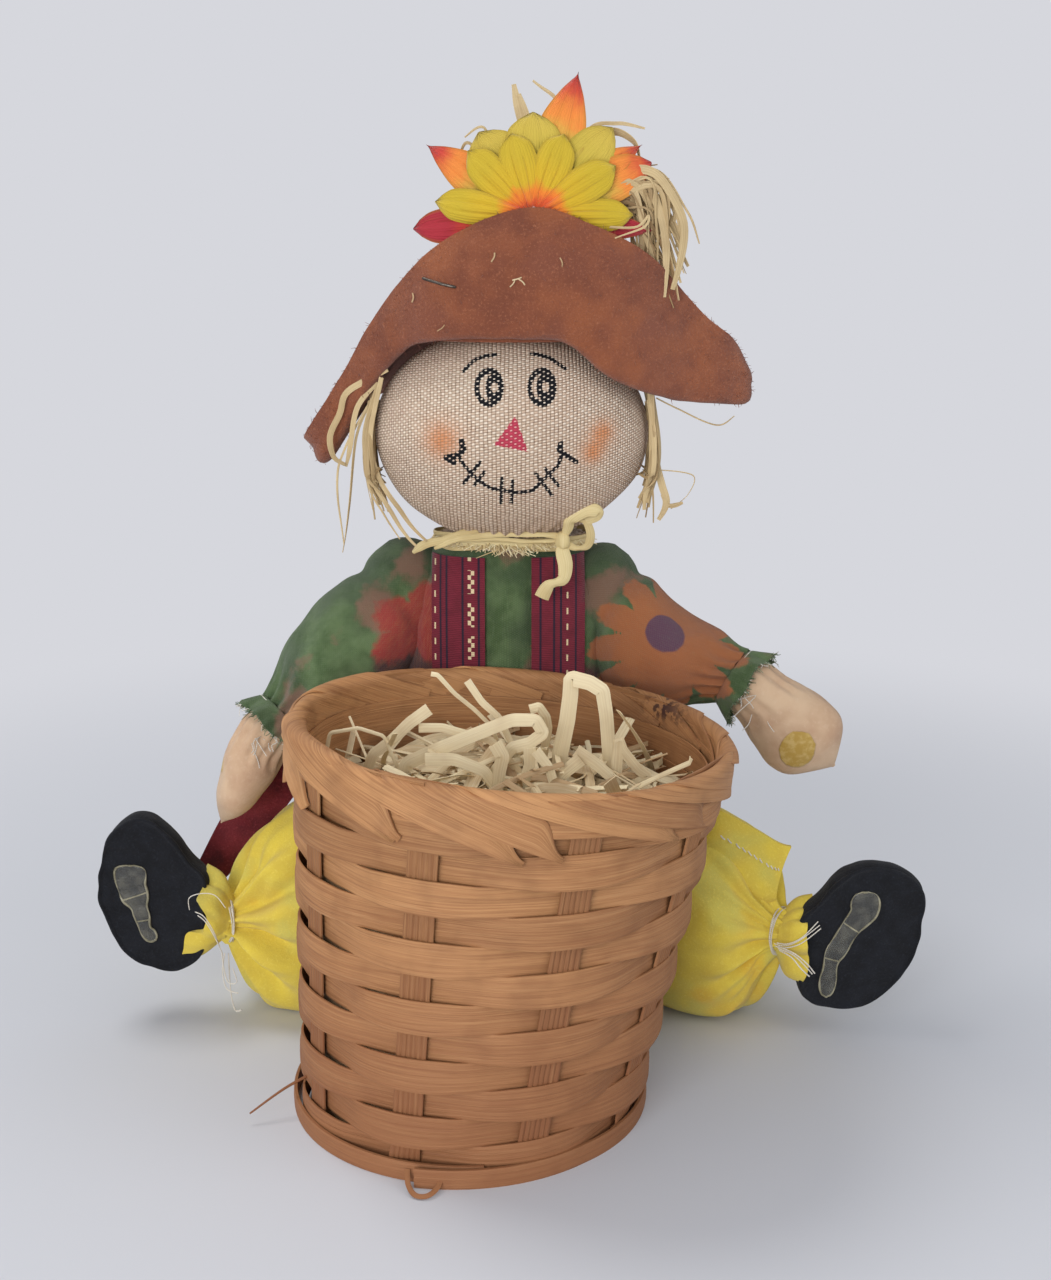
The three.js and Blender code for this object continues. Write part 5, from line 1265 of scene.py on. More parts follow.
def build_weaver():
    """One long splint goes in front of one stake and behind the next, and climbs as it goes round."""
    low, high = 1.6, BASKET_HEIGHT + 0.8 * BORDER_HALF_HEIGHT
    pitch = (high - low) / WEAVER_ROWS
    each = 14
    i = np.arange((WEAVER_ROWS + 1) * STAKES * each + 1)
    turns = i / (STAKES * each)
    bottom = low + pitch * np.maximum(turns - 1, 0)
    top = low + pitch * np.minimum(turns, WEAVER_ROWS)
    swing = np.cos(math.pi * i / each)
    width = np.maximum(top - bottom, 1) + 0.1 + 1.1 * step(np.abs(swing), 0.3, 0.9)
    angle = stake_angle(i / each)
    offset = WEAVE_AMPLITUDE * np.sign(swing) * np.abs(swing) ** 0.75
    path = wall(angle, (bottom + top) / 2 / BASKET_HEIGHT, offset)
    path[:, 2] += 0.35 * noise(path, 47, 83)
    tone = 0.55 * noise(np.stack([i / 37, 0 * i, 0 * i], -1), 1, 84)
    skin = Skin()
    grooved(skin, path, outward(angle), width, WEAVER_THICKNESS, 6, 0.16, tone, 0.22)
    skin.piece("woven_splint", SPLINT, "root", ["basket_weaver"], "splint")


def build_hoop():
    """The band round the foot, its sprung end and a curl of split fibre under it."""
    t = shares(220)
    angle = -math.pi / 2 + 0.1 - t * (TURN + 0.35)
    spring = np.clip((t - 0.86) / 0.14, 0, 1) * 3.2
    gap = STAKE_THICKNESS / 2 + GAP + 1.2 + HOOP_THICKNESS / 2
    radius = BASKET_FOOT_RADIUS + BASKET_LEAN * 0.05 + gap + spring
    path = np.stack([radius * np.cos(angle) - BASKET_LEAN, BASKET_Y + radius * np.sin(angle),
                     np.full_like(t, HOOP_HEIGHT / 2)], -1)
    skin = Skin()
    grooved(skin, path, outward(angle), HOOP_HEIGHT, HOOP_THICKNESS, 3, 0.14, 0.15, 0.2)
    front = BASKET_Y - BASKET_FOOT_RADIUS - 3
    curl = spline([(-32, front + 1.5, 4.6), (-31.5, front - 3, 2), (-29, front - 7.5, 1), (-25, front - 8, 1.2),
                   (-22, front - 4, 2.2), (-21.5, front + 1, 5)], shares(40))
    skin.ribbon(curl, (0, -0.5, 1), 1.7, 0.22, 0.05, 5, tone=0.9)
    left = -BASKET_LEAN - BASKET_FOOT_RADIUS
    splinter = spline([(left + 4, BASKET_Y - 12, 13), (left - 5, BASKET_Y - 17, 10), (left - 16, BASKET_Y - 23, 4)],
                      shares(16))
    skin.tube(splinter, np.linspace(0.6, 0.3, 16), 6, tone=-0.8)
    skin.piece("foot_band", SPLINT, "root", ["basket_foot_hoop"], "splint")


# Plain bands at the rim: how far out each is, how far below the rim, and its height
RIM_BANDS = ((-1.5, 1.5, 10.4), (1.3, 1.5, 10.4), (-WEAVE_AMPLITUDE - 1.5, 9, 13), (-3.2, 17, 9))


def build_border():
    """Thin bands at the rim, and the split ends of the stakes folded slantwise over them."""
    skin = Skin()
    dice = rand(85)
    ring = np.linspace(0, TURN, 220)
    for offset, drop, height in RIM_BANDS:
        grooved(skin, wall(ring, 1 - drop / BASKET_HEIGHT, offset), outward(ring), height, 0.7, 6, 0.14, 0.1)
    crest = BASKET_HEIGHT + 0.88 * BORDER_HALF_HEIGHT
    inside, outside = 13.0, 16.0
    t = shares(80)[:, None]
    w = np.linspace(-1, 1, 17)[None, :]
    for n in range(2 * STAKES):
        run = dice.uniform(1.15, 1.5) * BASKET_TOP_RADIUS
        fall = inside + outside + dice.uniform(-2.5, 1)
        length = math.hypot(run, fall)
        kept = 1 - 0.85 * step(t, 0.87, 1)
        aside = dice.uniform(4.8, 6.2) * (w * kept - (1 - kept))
        height = inside - fall * t + aside * run / length + 0.6 * np.sin(5 * t + n)
        start = stake_angle(n / 2) - 0.55 + dice.uniform(-0.06, 0.06)
        angle = start + (run * t + aside * fall / length) / BASKET_TOP_RADIUS
        face = np.tanh(-height / 1.3)
        rise = crest + 0.6 + 0.5 * math.sin(2.1 * n) - np.sqrt(height ** 2 + 0.4)
        ridge = 0.1 * np.abs(np.sin(TURN * 0.75 * (w + 1) + n)) ** 0.5
        curl = 0.5 * noise(np.stack([t * 4 + 0 * w, w + 0 * t, n + 0 * t * w], -1), 1, 87)
        sides = []
        for lift in (0.3 + ridge, -0.3 + 0 * ridge):
            depth = 2.7 - 0.75 * w + curl + 0.35 * math.cos(2.4 * n) + lift
            sides.append(wall(angle, (rise + lift * (1 - face ** 2)) / BASKET_HEIGHT, depth * face))
        both = np.concatenate([sides[0], sides[1][:, ::-1]], axis=1)
        u = 5 * w[0]
        skin.rings(both, u=np.concatenate([u, u[::-1], u[:1]]), tone=dice.choice([-0.15, 0.2, 0.5, 0.8]))
    loop = spline([(-68, BASKET_Y + 8, 118), (-72, BASKET_Y + 4, 127), (-73.5, BASKET_Y - 6, 133.5),
                   (-71, BASKET_Y - 16, 131), (-69.5, BASKET_Y - 22, 122)], shares(30))
    skin.ribbon(loop, (-1, -0.2, 0.4), 5.5, 0.5, 0.2, 7, tone=0.5)
    skin.piece("rim_splints", SPLINT, "root", ["basket_border"], "splint")


def build_basket_floor():
    radius = BASKET_FOOT_RADIUS - WEAVE_AMPLITUDE - 3
    z = FLOOR_Z + STAKE_THICKNESS / 2 + GAP + 0.5
    skin = Skin()
    for n, y in enumerate(np.arange(-radius + 3, radius - 2, 6.2)):
        half = math.sqrt(radius ** 2 - y ** 2)
        x = np.linspace(-half, half, 40)
        wave = 0.35 * np.cos(math.pi * x / 6.2 + math.pi * n)
        path = np.stack([x - BASKET_LEAN, BASKET_Y + y + 0 * x, z + wave], -1)
        grooved(skin, path, np.broadcast_to((0, 0, -1.0), path.shape), 6, 0.4, 4, 0.08, 0.2 * (-1) ** n)
    skin.piece("bottom_mat", SPLINT, "root", ["basket_floor"], "splint")


# Ribbons of straw that stand out of the fill: how far back, width, and places across and up
TALL_STRAW = (
    (-92, 5.8, ((19.2, 100), (16.6, 118), (19, 130.6), (20, 140), (20.2, 146), (26.5, 144.3), (30.7, 141.5),
                (32.1, 132.7), (34.3, 106))),
    (-86, 1.6, ((-26.7, 145.9), (-24.4, 145.5), (-18.9, 138.9), (-12.3, 133.1), (-6.3, 126.7), (0, 108))),
    (-88, 2.6, ((-14.5, 143.9), (-9.7, 136.3), (-3.7, 130.5), (4, 112))),
    (-98, 4.2, ((-26.9, 136.7), (-33.4, 131.8), (-39.5, 125.6), (-46.1, 120.3), (-50, 108))),
    (-96, 3.2, ((-30.6, 129.4), (-22.6, 129.4), (-16.6, 127.6), (-6.6, 125), (4, 112))),
    (-102, 4.8, ((-36, 112), (-34.4, 118.5), (-22.4, 124.2), (-10.4, 129.4), (0.5, 134), (8.4, 134),
                 (10.9, 129.4), (6.4, 125.7), (0.5, 124.2), (-6, 114))),
    (-90, 3.4, ((6.4, 134.2), (9.5, 135.2), (12, 131.6), (12.7, 127.4), (10, 110))),
    (-112, 4.8, ((-4.8, 128.8), (-2.4, 124.2), (-3.4, 119.1), (-4.9, 108))),
    (-108, 4.2, ((6.4, 126), (6.4, 119.9), (2.5, 107))),
    (-110, 3.6, ((8.4, 125.6), (12.8, 119.5), (16.2, 107))),
    (-104, 4.2, ((21.7, 123.8), (28.2, 119.1), (33.2, 114.4), (40, 104))),
    (-100, 3.8, ((35, 108), (35.8, 126.5), (37.3, 122.5), (42.9, 115.2), (45.9, 113.1), (38.5, 108))),
    (-100, 1.4, ((-62, 118), (-59.7, 128.8), (-50.2, 130.6), (-41.8, 127.7), (-36, 112))),
    (-108, 4.4, ((-28, 121.9), (-18.2, 121.9), (-8.4, 117.8), (-2.5, 108))),
    (-106, 4.6, ((23.2, 121.3), (17.3, 116.1), (11.4, 107))),
)


def build_straw():
    """A packed bed, many ribbons lying on it every way, and a few that stand up out of it."""
    inside = WEAVE_AMPLITUDE + WEAVER_THICKNESS / 2 + 1.2
    angle = circle(120)
    bed = Skin()
    low, top = FLOOR_Z + STAKE_THICKNESS / 2 + 2 * GAP + 1, STRAW_LEVEL - 4
    rows = [wall(angle, z / BASKET_HEIGHT, -inside) * (1, 1, 0) + (0, 0, z)
            for z in np.linspace(low, top, 26)]
    heart = np.array([BASKET_LEAN * (STRAW_LEVEL / BASKET_HEIGHT - 1), BASKET_Y, 0])
    room = BASKET_TOP_RADIUS - inside - 3
    for share in np.linspace(0.97, 0.03, 22):
        height = top + (STRAW_MOUND - 4) * (1 - share ** 2)
        rows.append(heart + outward(angle) * share * room + (0, 0, height))
    rows = np.array(rows)
    rows[..., 2] += step(rows[..., 2], top - 12, top) * 2.2 * noise(rows, 7, 91, 2)
    # Painted shade: the top of the bed is coloured dark for the shadow deep between the ribbons lying on it.
    bed.rings(rows, tone=np.where(np.arange(len(rows)) < 24, -0.3, -1.1))
    bed.piece("straw_bed", STRAW, "root", ["straw_fill"], "straw")

    ribbons = Skin()
    dice = rand(92)
    for n in range(460):
        reach = room * math.sqrt(dice.uniform(0, 1)) * 0.93
        turn = dice.uniform(0, TURN)
        middle = heart + (reach * math.cos(turn), reach * math.sin(turn), 0)
        level = top + (STRAW_MOUND - 3) * (1 - (reach / room) ** 2)
        level = level + dice.uniform(0, 10) * (0.3 + 0.7 * n / 460)
        heading = dice.uniform(0, TURN)
        along = np.array([math.cos(heading), math.sin(heading), dice.normal(0, 0.3)])
        side = np.array([-math.sin(heading), math.cos(heading), 0])
        half = dice.uniform(10, 28)
        bend = side * dice.normal(0, 5) + (0, 0, dice.uniform(0, 6))
        ends = [middle - along * half - bend * 0.8, middle - along * half * 0.4, middle + bend * 0.4,
                middle + along * half * 0.5, middle + along * half - bend * 0.8]
        path = spline(ends, shares(14)) + (0, 0, level)
        off = path[:, :2] - heart[:2]
        far = np.linalg.norm(off, axis=1, keepdims=True)
        path[:, :2] = heart[:2] + off * np.minimum(1, room * 0.985 / np.maximum(far, 1e-6))
        facing = unit(np.array([dice.normal(0, 0.5), dice.normal(-0.4, 0.5), 0.8]))
        ribbons.ribbon(path, facing, dice.choice([1.0, 1.8, 2.6, 3.4, 4.6]), 0.2, dice.uniform(0.05, 0.5), 3,
                       tone=dice.choice([-0.8, -0.35, 0.1, 0.45, 0.8]))
    for back, width, route in TALL_STRAW:
        k = np.linspace(0, len(route) - 1, 9 * len(route))
        x, z = (np.interp(k, range(len(route)), column) for column in zip(*route))
        path = np.stack([x, back - 0.12 * (z - 118), z], -1)
        path[1:-1] = (path[:-2] + path[1:-1] + path[2:]) / 3
        facing = unit(np.array([dice.normal(0.1, 0.15), -1, dice.uniform(0.1, 0.5)]))
        taper = width * (1.0 - 0.2 * k / k[-1])
        ribbons.ribbon(path, facing, taper, 0.2, 0.25, 5, tone=dice.uniform(0.1, 0.8))
    ribbons.piece("straw_ribbons", STRAW, "root", (), "straw")


# Head

# The drawn face, in millimetres across and up on the front of the head
EYES = (((-7.5, 238), (-5.7, 238)), ((10.7, 238), (11.9, 238.1)))
FACE_LINES = (
    (0.55, [(-16.5, 243.1), (-14.8, 244.9), (-12.8, 246.7), (-9.8, 247.9), (-5.5, 248.5)]),
    (0.55, [(7.2, 248.8), (10.1, 248.4), (13.4, 247.5), (16.4, 245.5), (18.8, 243.9)]),
    (1.0, [(-17, 219.9), (-16.3, 217.3), (-18, 215.2), (-22.4, 214), (-19.8, 212.5)]),
    (0.6, [(-18, 215), (-17, 212.6), (-15.7, 210.9), (-13.1, 207.9), (-9.1, 204.5), (-6.5, 203.1),
           (-3.2, 202.9), (0.2, 201.8), (4.1, 201.8), (7.5, 202.4), (10.1, 205.2), (13.4, 208.6),
           (16.4, 211.3), (17.4, 215.3), (17.3, 219.3)]),
    (0.8, [(17.3, 219.3), (16.4, 217), (19.5, 214.5), (22.7, 212.3)]),
    (0.6, [(-10.7, 212.8), (-16.5, 205)]),
    (0.6, [(-9.1, 209.4), (-12.8, 204.4)]),
    (0.6, [(-3.1, 207.1), (-3.6, 197.7)]),
    (0.6, [(0.5, 206.1), (0, 197.7)]),
    (0.6, [(8.5, 208.8), (14.2, 200.4)]),
    (0.6, [(11.7, 210.4), (16.5, 203.9)]),
)
NOSE = ((1.5, 228.5), (-5.8, 218.9), (5.8, 216.6))
BLUSHES = ((-24, 219.9, 6.4), (31.8, 222.1, 4.4), (28.5, 215.4, 4))
UNPRINTED = 9.0


def outside_line(place, line, half):
    """Distance in millimetres outside a drawn line of a half width."""
    nearest = np.full(place.shape[:-1], UNPRINTED)
    line = np.array(line, float)
    for a, b in zip(line, line[1:]):
        along = b - a
        share = np.clip((place - a) @ along / (along @ along), 0, 1)
        nearest = np.minimum(nearest, np.linalg.norm(place - a - share[..., None] * along, axis=-1) - half)
    return nearest


def outside_oval(place, centre, half):
    off = (place - np.array(centre)) / np.array(half)
    return (np.linalg.norm(off, axis=-1) - 1) * min(half)


def face_fields(points):
    place = points[..., (0, 2)]
    ink = np.full(place.shape[:-1], UNPRINTED)
    for half, line in FACE_LINES:
        ink = np.minimum(ink, outside_line(place, line, half))
    for ring, pupil in EYES:
        ink = np.minimum(ink, np.abs(outside_oval(place, ring, (4.3, 5.4))) - 0.78)
        glint = -outside_oval(place, pupil, (1.3, 1.7))
        ink = np.minimum(ink, np.maximum(outside_oval(place, pupil, (3.1, 4.7)), glint))
    nose = np.full_like(ink, -UNPRINTED)
    middle = np.mean(NOSE, axis=0)
    for a, b in zip(NOSE, NOSE[1:] + NOSE[:1]):
        a, b = np.array(a), np.array(b)
        normal = unit(np.array([b[1] - a[1], a[0] - b[0]]))
        normal = normal * np.sign((a - middle) @ normal)
        nose = np.maximum(nose, (place - a) @ normal)
    across, up = place[..., 0], place[..., 1]
    blush = sum(np.exp(-((across - x) ** 2 + (up - z) ** 2) / r ** 2) for x, z, r in BLUSHES)
    front = points[..., 1] < HEAD_AT[1]
    return {"ink": np.where(front, ink, UNPRINTED), "nose": np.where(front, nose, UNPRINTED),
            "blush": np.where(front, np.clip(0.8 * blush, 0, 0.8), 0)}


def build_head():
    t = shares(170)
    lowest = -math.acos(0.24)
    tilt = (lowest + (math.pi / 2 - 0.12 - lowest) * t)[:, None]
    angle = circle(380)
    wide = np.cos(tilt)
    z = np.maximum(HEAD_AT[2] + HEAD_HALF[2] * np.sin(tilt), HEAD_BOTTOM)
    half_x, half_y = HEAD_HALF[0] * wide[:, 0], HEAD_HALF[1] * wide[:, 0]
    rows = oblong(z[:, 0], half_x, half_y, HEAD_AT[0] + 0 * t, HEAD_AT[1] + 0 * t, angle, 2.05)
    gather = 0.9 * np.cos(31 * angle + 2 * noise(rows, 12, 101)) * step(-np.sin(tilt), 0.72, 1)
    lumps = 0.7 * noise(rows, 24, 102, 2)
    rows = puffed(rows, gather + lumps)
    ball = np.clip((rows - np.array(HEAD_AT)) / np.array(HEAD_HALF), -0.99, 0.99)
    thread_place = np.arcsin(ball[..., (0, 2)]) * (HEAD_HALF[0], HEAD_HALF[2])
    skin = Skin()
    skin.rings(rows, place=thread_place)
    made = skin.piece("burlap_head", BURLAP, "head", ["head"], "burlap", face_fields(rows))


# Hat

def add_fuzz(skin, rows, normals, count, seed, lift):
    """Short loose fibres that stand off a felt surface."""
    dice = rand(seed)
    for _ in range(count):
        i, j = dice.integers(0, rows.shape[0]), dice.integers(0, rows.shape[1])
        out = normals[i, j] * dice.choice((-1, 1))
        start = rows[i, j] + out * lift
        way = unit(out + dice.normal(0, 0.7, 3)) * dice.uniform(0.7, 1.9)
        path = np.array([start, start + way * 0.55, start + way + dice.normal(0, 0.3, 3)])
        skin.tube(path, np.array([0.1, 0.09, 0.05]), 3, (0.3, 0.2, 1))


def build_crown():
    t = shares(60)
    angle = circle(160)
    tilt = t * (math.pi / 2 - 0.03)
    rows = oblong(CROWN_RIM_Z - 1 + (CROWN_HEIGHT + 1) * np.sin(tilt), CROWN_HALF[0] * np.cos(tilt),
                  CROWN_HALF[1] * np.cos(tilt), HAT_X + 0 * t, HEAD_AT[1] + 0 * t, angle, 2)
    rows = puffed(rows, 1.1 * noise(rows, 18, 111, 2))
    skin = Skin()
    skin.rings(rows)
    made = skin.piece("felt_crown", HAT_FELT, "head", ["hat_crown"], "hat_felt")


# Each row holds a point of the brim's fold and, across from it, a point of its free edge, with heights
# from the crown's rim
BRIM = (
    ((0, -52, 3.6), (6, -49, 44)),
    ((18, -51, 2.8), (28, -48, 38)),
    ((37, -46, -12.5), (48, -43, 27.5)),
    ((58, -36, -20.5), (66, -33, 9)),
    ((73, -29, -22), (77.5, -27, -1)),
    ((79.5, -20, -21.5), (83.5, -17, -13)),
    ((62, 2, -15), (77, 6, -17)),
    ((32, 24, -11), (40, 36, -18)),
    ((0, 30, -10), (0, 44, -20)),
    ((-31, 24, -12), (-40, 36, -22)),
    ((-51, 4, -19), (-66, 6, -30)),
    ((-66, -18, -42.5), (-75, -18, -36)),
    ((-52, -30, -19), (-60, -29, -13)),
    ((-38, -39, -2.5), (-43, -38, 13)),
    ((-20, -49, 2.4), (-23, -47, 33)),
)


def build_brim():
    """One felt ring. In front it turns up at a fold, and at the sides it runs out to two tips."""
    t = np.arange(300) / 300
    lift = np.array([0, 0, CROWN_RIM_Z])
    fold = closed_spline([row[0] for row in BRIM], t) + lift
    edge = closed_spline([row[1] for row in BRIM], t) + lift
    off = (fold[:, :2] - (HAT_X, HEAD_AT[1])) / np.array(CROWN_HALF)
    clear = 1 + (GAP + 0.4) / CROWN_HALF[1]
    foot = unit(off) * clear * np.array(CROWN_HALF) + (HAT_X, HEAD_AT[1])
    inner = np.column_stack([foot, np.full(len(t), CROWN_RIM_Z + FELT / 2)])
    between = (fold + edge) / 2
    between[:, 1] -= 1.2 * np.maximum(0, -fold[:, 1] / 50)
    between[:, 0] += 3.4 * np.sign(fold[:, 0]) * step(np.abs(fold[:, 0]), 58, 76)
    rows = spline(np.stack([inner, fold, between, edge]), shares(46))
    normals = away(rows)
    rows = rows + normals * (0.9 * noise(rows, 22, 112, 2) + 0.25 * noise(rows, 5, 113))[..., None]
    skin = Skin()
    skin.sleeve(rows, FELT)
    made = skin.piece("felt_brim", HAT_FELT, "head", ["hat_brim"], "hat_felt")
    fur = Skin()
    add_fuzz(fur, rows[10:], normals[10:], 1500, 115, FELT / 2)
    add_fuzz(fur, rows[-1:], normals[-1:], 700, 116, 0)
    fur.piece("brim_fuzz", HAT_FELT, "head", (), "hat_felt")
    front = rows[:, rows[0, :, 1] < HEAD_AT[1]]
    return front.reshape(-1, 3)


# Crumbs of straw on the brim: across, up and how each leans
CRUMBS = ((-33.9, 268.1, 1.5), (2.1, 274.6, 0.3), (3.6, 273.6, 2.4), (0.6, 273.2, 1.0), (-6, 281.7, 1.2),
          (-24, 258, 0.7), (17, 280, 1.8))


def build_brim_trim(felt_points):
    """The wire staple that closes the brim, and crumbs of straw caught in the felt."""
    def surface(x, z):
        near = np.hypot(felt_points[:, 0] - x, felt_points[:, 2] - z) < 2.5
        return felt_points[near][:, 1].min() - FELT / 2 if near.any() else -51.0

    staple = Skin()
    ends = [(-30, 274.6), (-29.4, 274.4), (-24, 272.9), (-19.6, 271.9), (-19, 271.8)]
    lift = (0.6, -0.5, -0.6, -0.5, 0.6)
    path = spline([(x, surface(x, z) + out, z) for (x, z), out in zip(ends, lift)], shares(24))
    staple.tube(path, 0.5, 8, (0, 1, 0))
    staple.piece("wire_staple", STAPLE, "head", ["hat_staple"], "staple_wire")
    crumbs = Skin()
    dice = rand(114)
    for x, z, lean in CRUMBS:
        way = np.array([math.cos(lean), 0, math.sin(lean)])
        middle = np.array([x, surface(x, z) - 0.3, z])
        path = spline([middle - way * 1.6, middle + (0.4, -0.4, 0), middle + way * 1.6], shares(8))
        crumbs.ribbon(path, (0, -1, 0), dice.uniform(0.3, 0.55), 0.2, 0, 3, tone=dice.uniform(-0.9, 0.1))
    crumbs.piece("straw_crumbs", STRAW, "head", (), "straw")


# Half widths of a petal from its heart to its tip, as shares
POINTED = (0.6, 0.86, 1.0, 0.95, 0.78, 0.44, 0.0)
BLUNT = (0.5, 0.75, 0.92, 1.0, 0.98, 0.8, 0.25)
OVAL = (0.46, 0.6, 0.82, 0.98, 1.0, 0.84, 0.2)
# Petals: where each tip is from the flower's heart, across and up, its width, how far it bends sideways,
# how far its colour runs towards red at the tip, and its outline
OUTER = (
    (-41, -5.6, 12.5, -1, 1.7, BLUNT), (42, -6.2, 11, 1, 1.8, POINTED), (-18.5, 27.5, 20, 0, 0.5, BLUNT),
    (0, 34, 20, 0, 0.5, BLUNT), (40.4, 17.6, 15, 0, 0.95, BLUNT), (36.5, 24.5, 14, -1, 0.95, POINTED),
    (-37, 22.5, 15.5, -1, 1.05, POINTED), (27, 29, 16, 0, 0.5, BLUNT),
    (17.6, 46.4, 18.5, 2, 1.02, POINTED),
)
INNER = ((-33.4, 4.6, 11.4, 0, 1, OVAL), (34.2, 0.2, 11, 0, 1, OVAL), (-23, 20.4, 12.2, -1, 1, OVAL),
         (28, 16.4, 12.6, 0, 1, OVAL), (-7.4, 27, 12.8, 0, 1, OVAL), (11.6, 26.2, 12.8, 1, 1, OVAL))


def build_petals(name, node, slot, material, petals_list, depth, bulge):
    skin = Skin()
    t = np.linspace(0.1, 1, 44)[:, None]
    w = np.linspace(-1, 1, 21)[None, :]
    edge = []
    for n, (x, z, width, bend, warm, shape) in enumerate(petals_list):
        length = math.hypot(x, z)
        along, across = np.array([x, 0, z]) / length, np.array([-z, 0, x]) / length
        reach = length * t
        half = width / 2 * np.maximum(spline(shape, (t - 0.1) / 0.9), 0.02)
        half = half * np.sqrt(np.clip((1 - t) / 0.06, 0.02, 1))
        aside = half * w + bend * 1.2 * t ** 2
        lean = 0.002 * reach ** 2 + depth + 0.4 * (n % 3) - bulge * (1 - w ** 2) * np.sin(math.pi * t ** 0.8)
        crease = 0.6 * np.exp(-((np.abs(w) - 0.3) / 0.09) ** 2) * np.sin(math.pi * t)
        gather = 0.45 * np.cos(7 * w + n) * (1 - step(t, 0.15, 0.5))
        ripple = 0.35 * np.sin(4 * w + 2.3 * n + 4 * t) * t
        rows = (np.array(FLOWER_AT) + along * reach[..., None] + across * aside[..., None]
                + np.array([0, 1, 0]) * (lean + crease + gather + ripple)[..., None])
        skin.slab(rows, 0.35, facing_front(rows), tone=warm * t[:, 0])
        # Painted shade: the field edge is high along the petal's edges and its two creases.
        groove = np.exp(-((np.abs(w) - 0.3) / 0.06) ** 2) * np.sin(math.pi * t) ** 0.5
        shadow = np.maximum(np.abs(w), 0.95 * groove)
        edge.append(np.concatenate([shadow, shadow], axis=1) * np.ones_like(t))
    fields = {"edge": np.concatenate([rim.ravel() for rim in edge])}
    skin.piece(name, material, "head", [node], slot, fields)


def build_flower():
    build_petals("pointed_petals", "flower_outer_petals", "petal_orange", OUTER_PETALS, OUTER, 2.6, 0.6)
    build_petals("round_petals", "flower_inner_petals", "petal_yellow", INNER_PETALS, INNER, 0.4, 1.9)


def raffia_strand(skin, dice, route, width, tone, count=22):
    """One dry strand that wanders and twists a little along its route."""
    t = np.linspace(0, 1, count)
    path = spline(route, t)
    path = path + 1.1 * np.stack([noise(path, 13, k + width) for k in (121, 122, 123)], -1) * t[:, None]
    twist = dice.uniform(-1.4, 1.4) * t + dice.uniform(-0.5, 0.5)
    facing = np.stack([np.sin(twist), -np.cos(twist), 0.2 * np.sin(2 * twist)], -1)
    skin.ribbon(path, facing, width * (1 - 0.45 * step(t, 0.7, 1)), 0.22, 0.2 * width / 3, 3, tone=tone)


# Strands of the tuft that the photograph shows one by one
LOOSE_RAFFIA = (
    (((24, -39, 294), (40, -40, 309), (48, -41, 310), (54, -42, 304), (59, -43, 293), (58, -43, 279),
      (56, -43, 271)), 3.2),
    (((24, -38, 294), (44, -39, 308), (50, -40, 298), (53, -41, 285), (52, -42, 268)), 2.8),
    (((24, -38, 293), (40, -38, 303), (46, -39, 290), (50, -40, 277), (49, -40, 260)), 2.4),
    (((24, -38, 296), (48, -39, 311), (60, -41, 297), (65, -42, 287)), 0.8),
    (((20, -38, 300), (8, -37, 316), (2.5, -37, 330), (0, -37, 338.6)), 2.9),
    (((20, -38, 300), (9, -37, 318), (5, -37, 329), (3, -37, 336.5)), 2.4),
    (((20, -38, 300), (17, -37, 322), (15.8, -37, 334), (7.5, -37, 340)), 1.3),
    (((16, -38, 300), (-4, -37, 315), (-9, -37, 325), (-15, -37, 322)), 0.9),
    (((14, -38, 298), (-8, -37, 314), (-15, -37, 319), (-18, -37, 312)), 1.1),
    (((22, -38, 300), (26, -38, 323), (36, -38, 326.5), (45, -38, 325)), 1.3),
    (((22, -38, 300), (25, -37, 316), (34, -37, 323), (42, -37, 320), (44, -37, 314)), 2.8),
    (((30, -42, 292), (42, -50.5, 291.5), (46.5, -51.5, 295), (45, -51.8, 291.5), (34.7, -51.6, 288)), 0.8),
)


def build_hat_raffia():
    skin = Skin()
    dice = rand(131)
    knot = np.array([20, -40.3, 292])
    skin.blob(knot, (6.5, 3.6, 5.5), wobble=0.2, seed=8)
    for _ in range(54):
        top = np.array([dice.uniform(34, 50), dice.uniform(-42, -34), dice.uniform(297, 312)])
        end = np.array([dice.uniform(42, 62), dice.uniform(-43, -33), dice.uniform(262, 292)])
        middle = (top + end) / 2 + (dice.uniform(-2, 6), 0, dice.uniform(-2, 5))
        width = dice.choice([0.45, 0.7, 1.0, 1.5, 2.0])
        raffia_strand(skin, dice, [knot, top, middle, end], width, dice.uniform(-1, 0.6))
    for _ in range(44):
        turn = math.radians(dice.uniform(25, 145))
        reach = dice.uniform(24, 38)
        out = np.array([math.cos(turn), 0, math.sin(turn)])
        middle = knot + out * reach * 0.6 + (dice.normal(0, 2), dice.uniform(0, 4), 2)
        tip = knot + out * reach + (dice.normal(0, 4), dice.uniform(0, 6), -dice.uniform(0, 6))
        raffia_strand(skin, dice, [knot, middle, tip], dice.choice([0.4, 0.7, 1.2]), dice.uniform(-1, 0.3))
    for route, width in LOOSE_RAFFIA:
        raffia_strand(skin, dice, route, width, dice.uniform(0, 0.5), 34)
    skin.piece("raffia_tuft", HAIR, "head", ["hat_raffia"], "raffia")


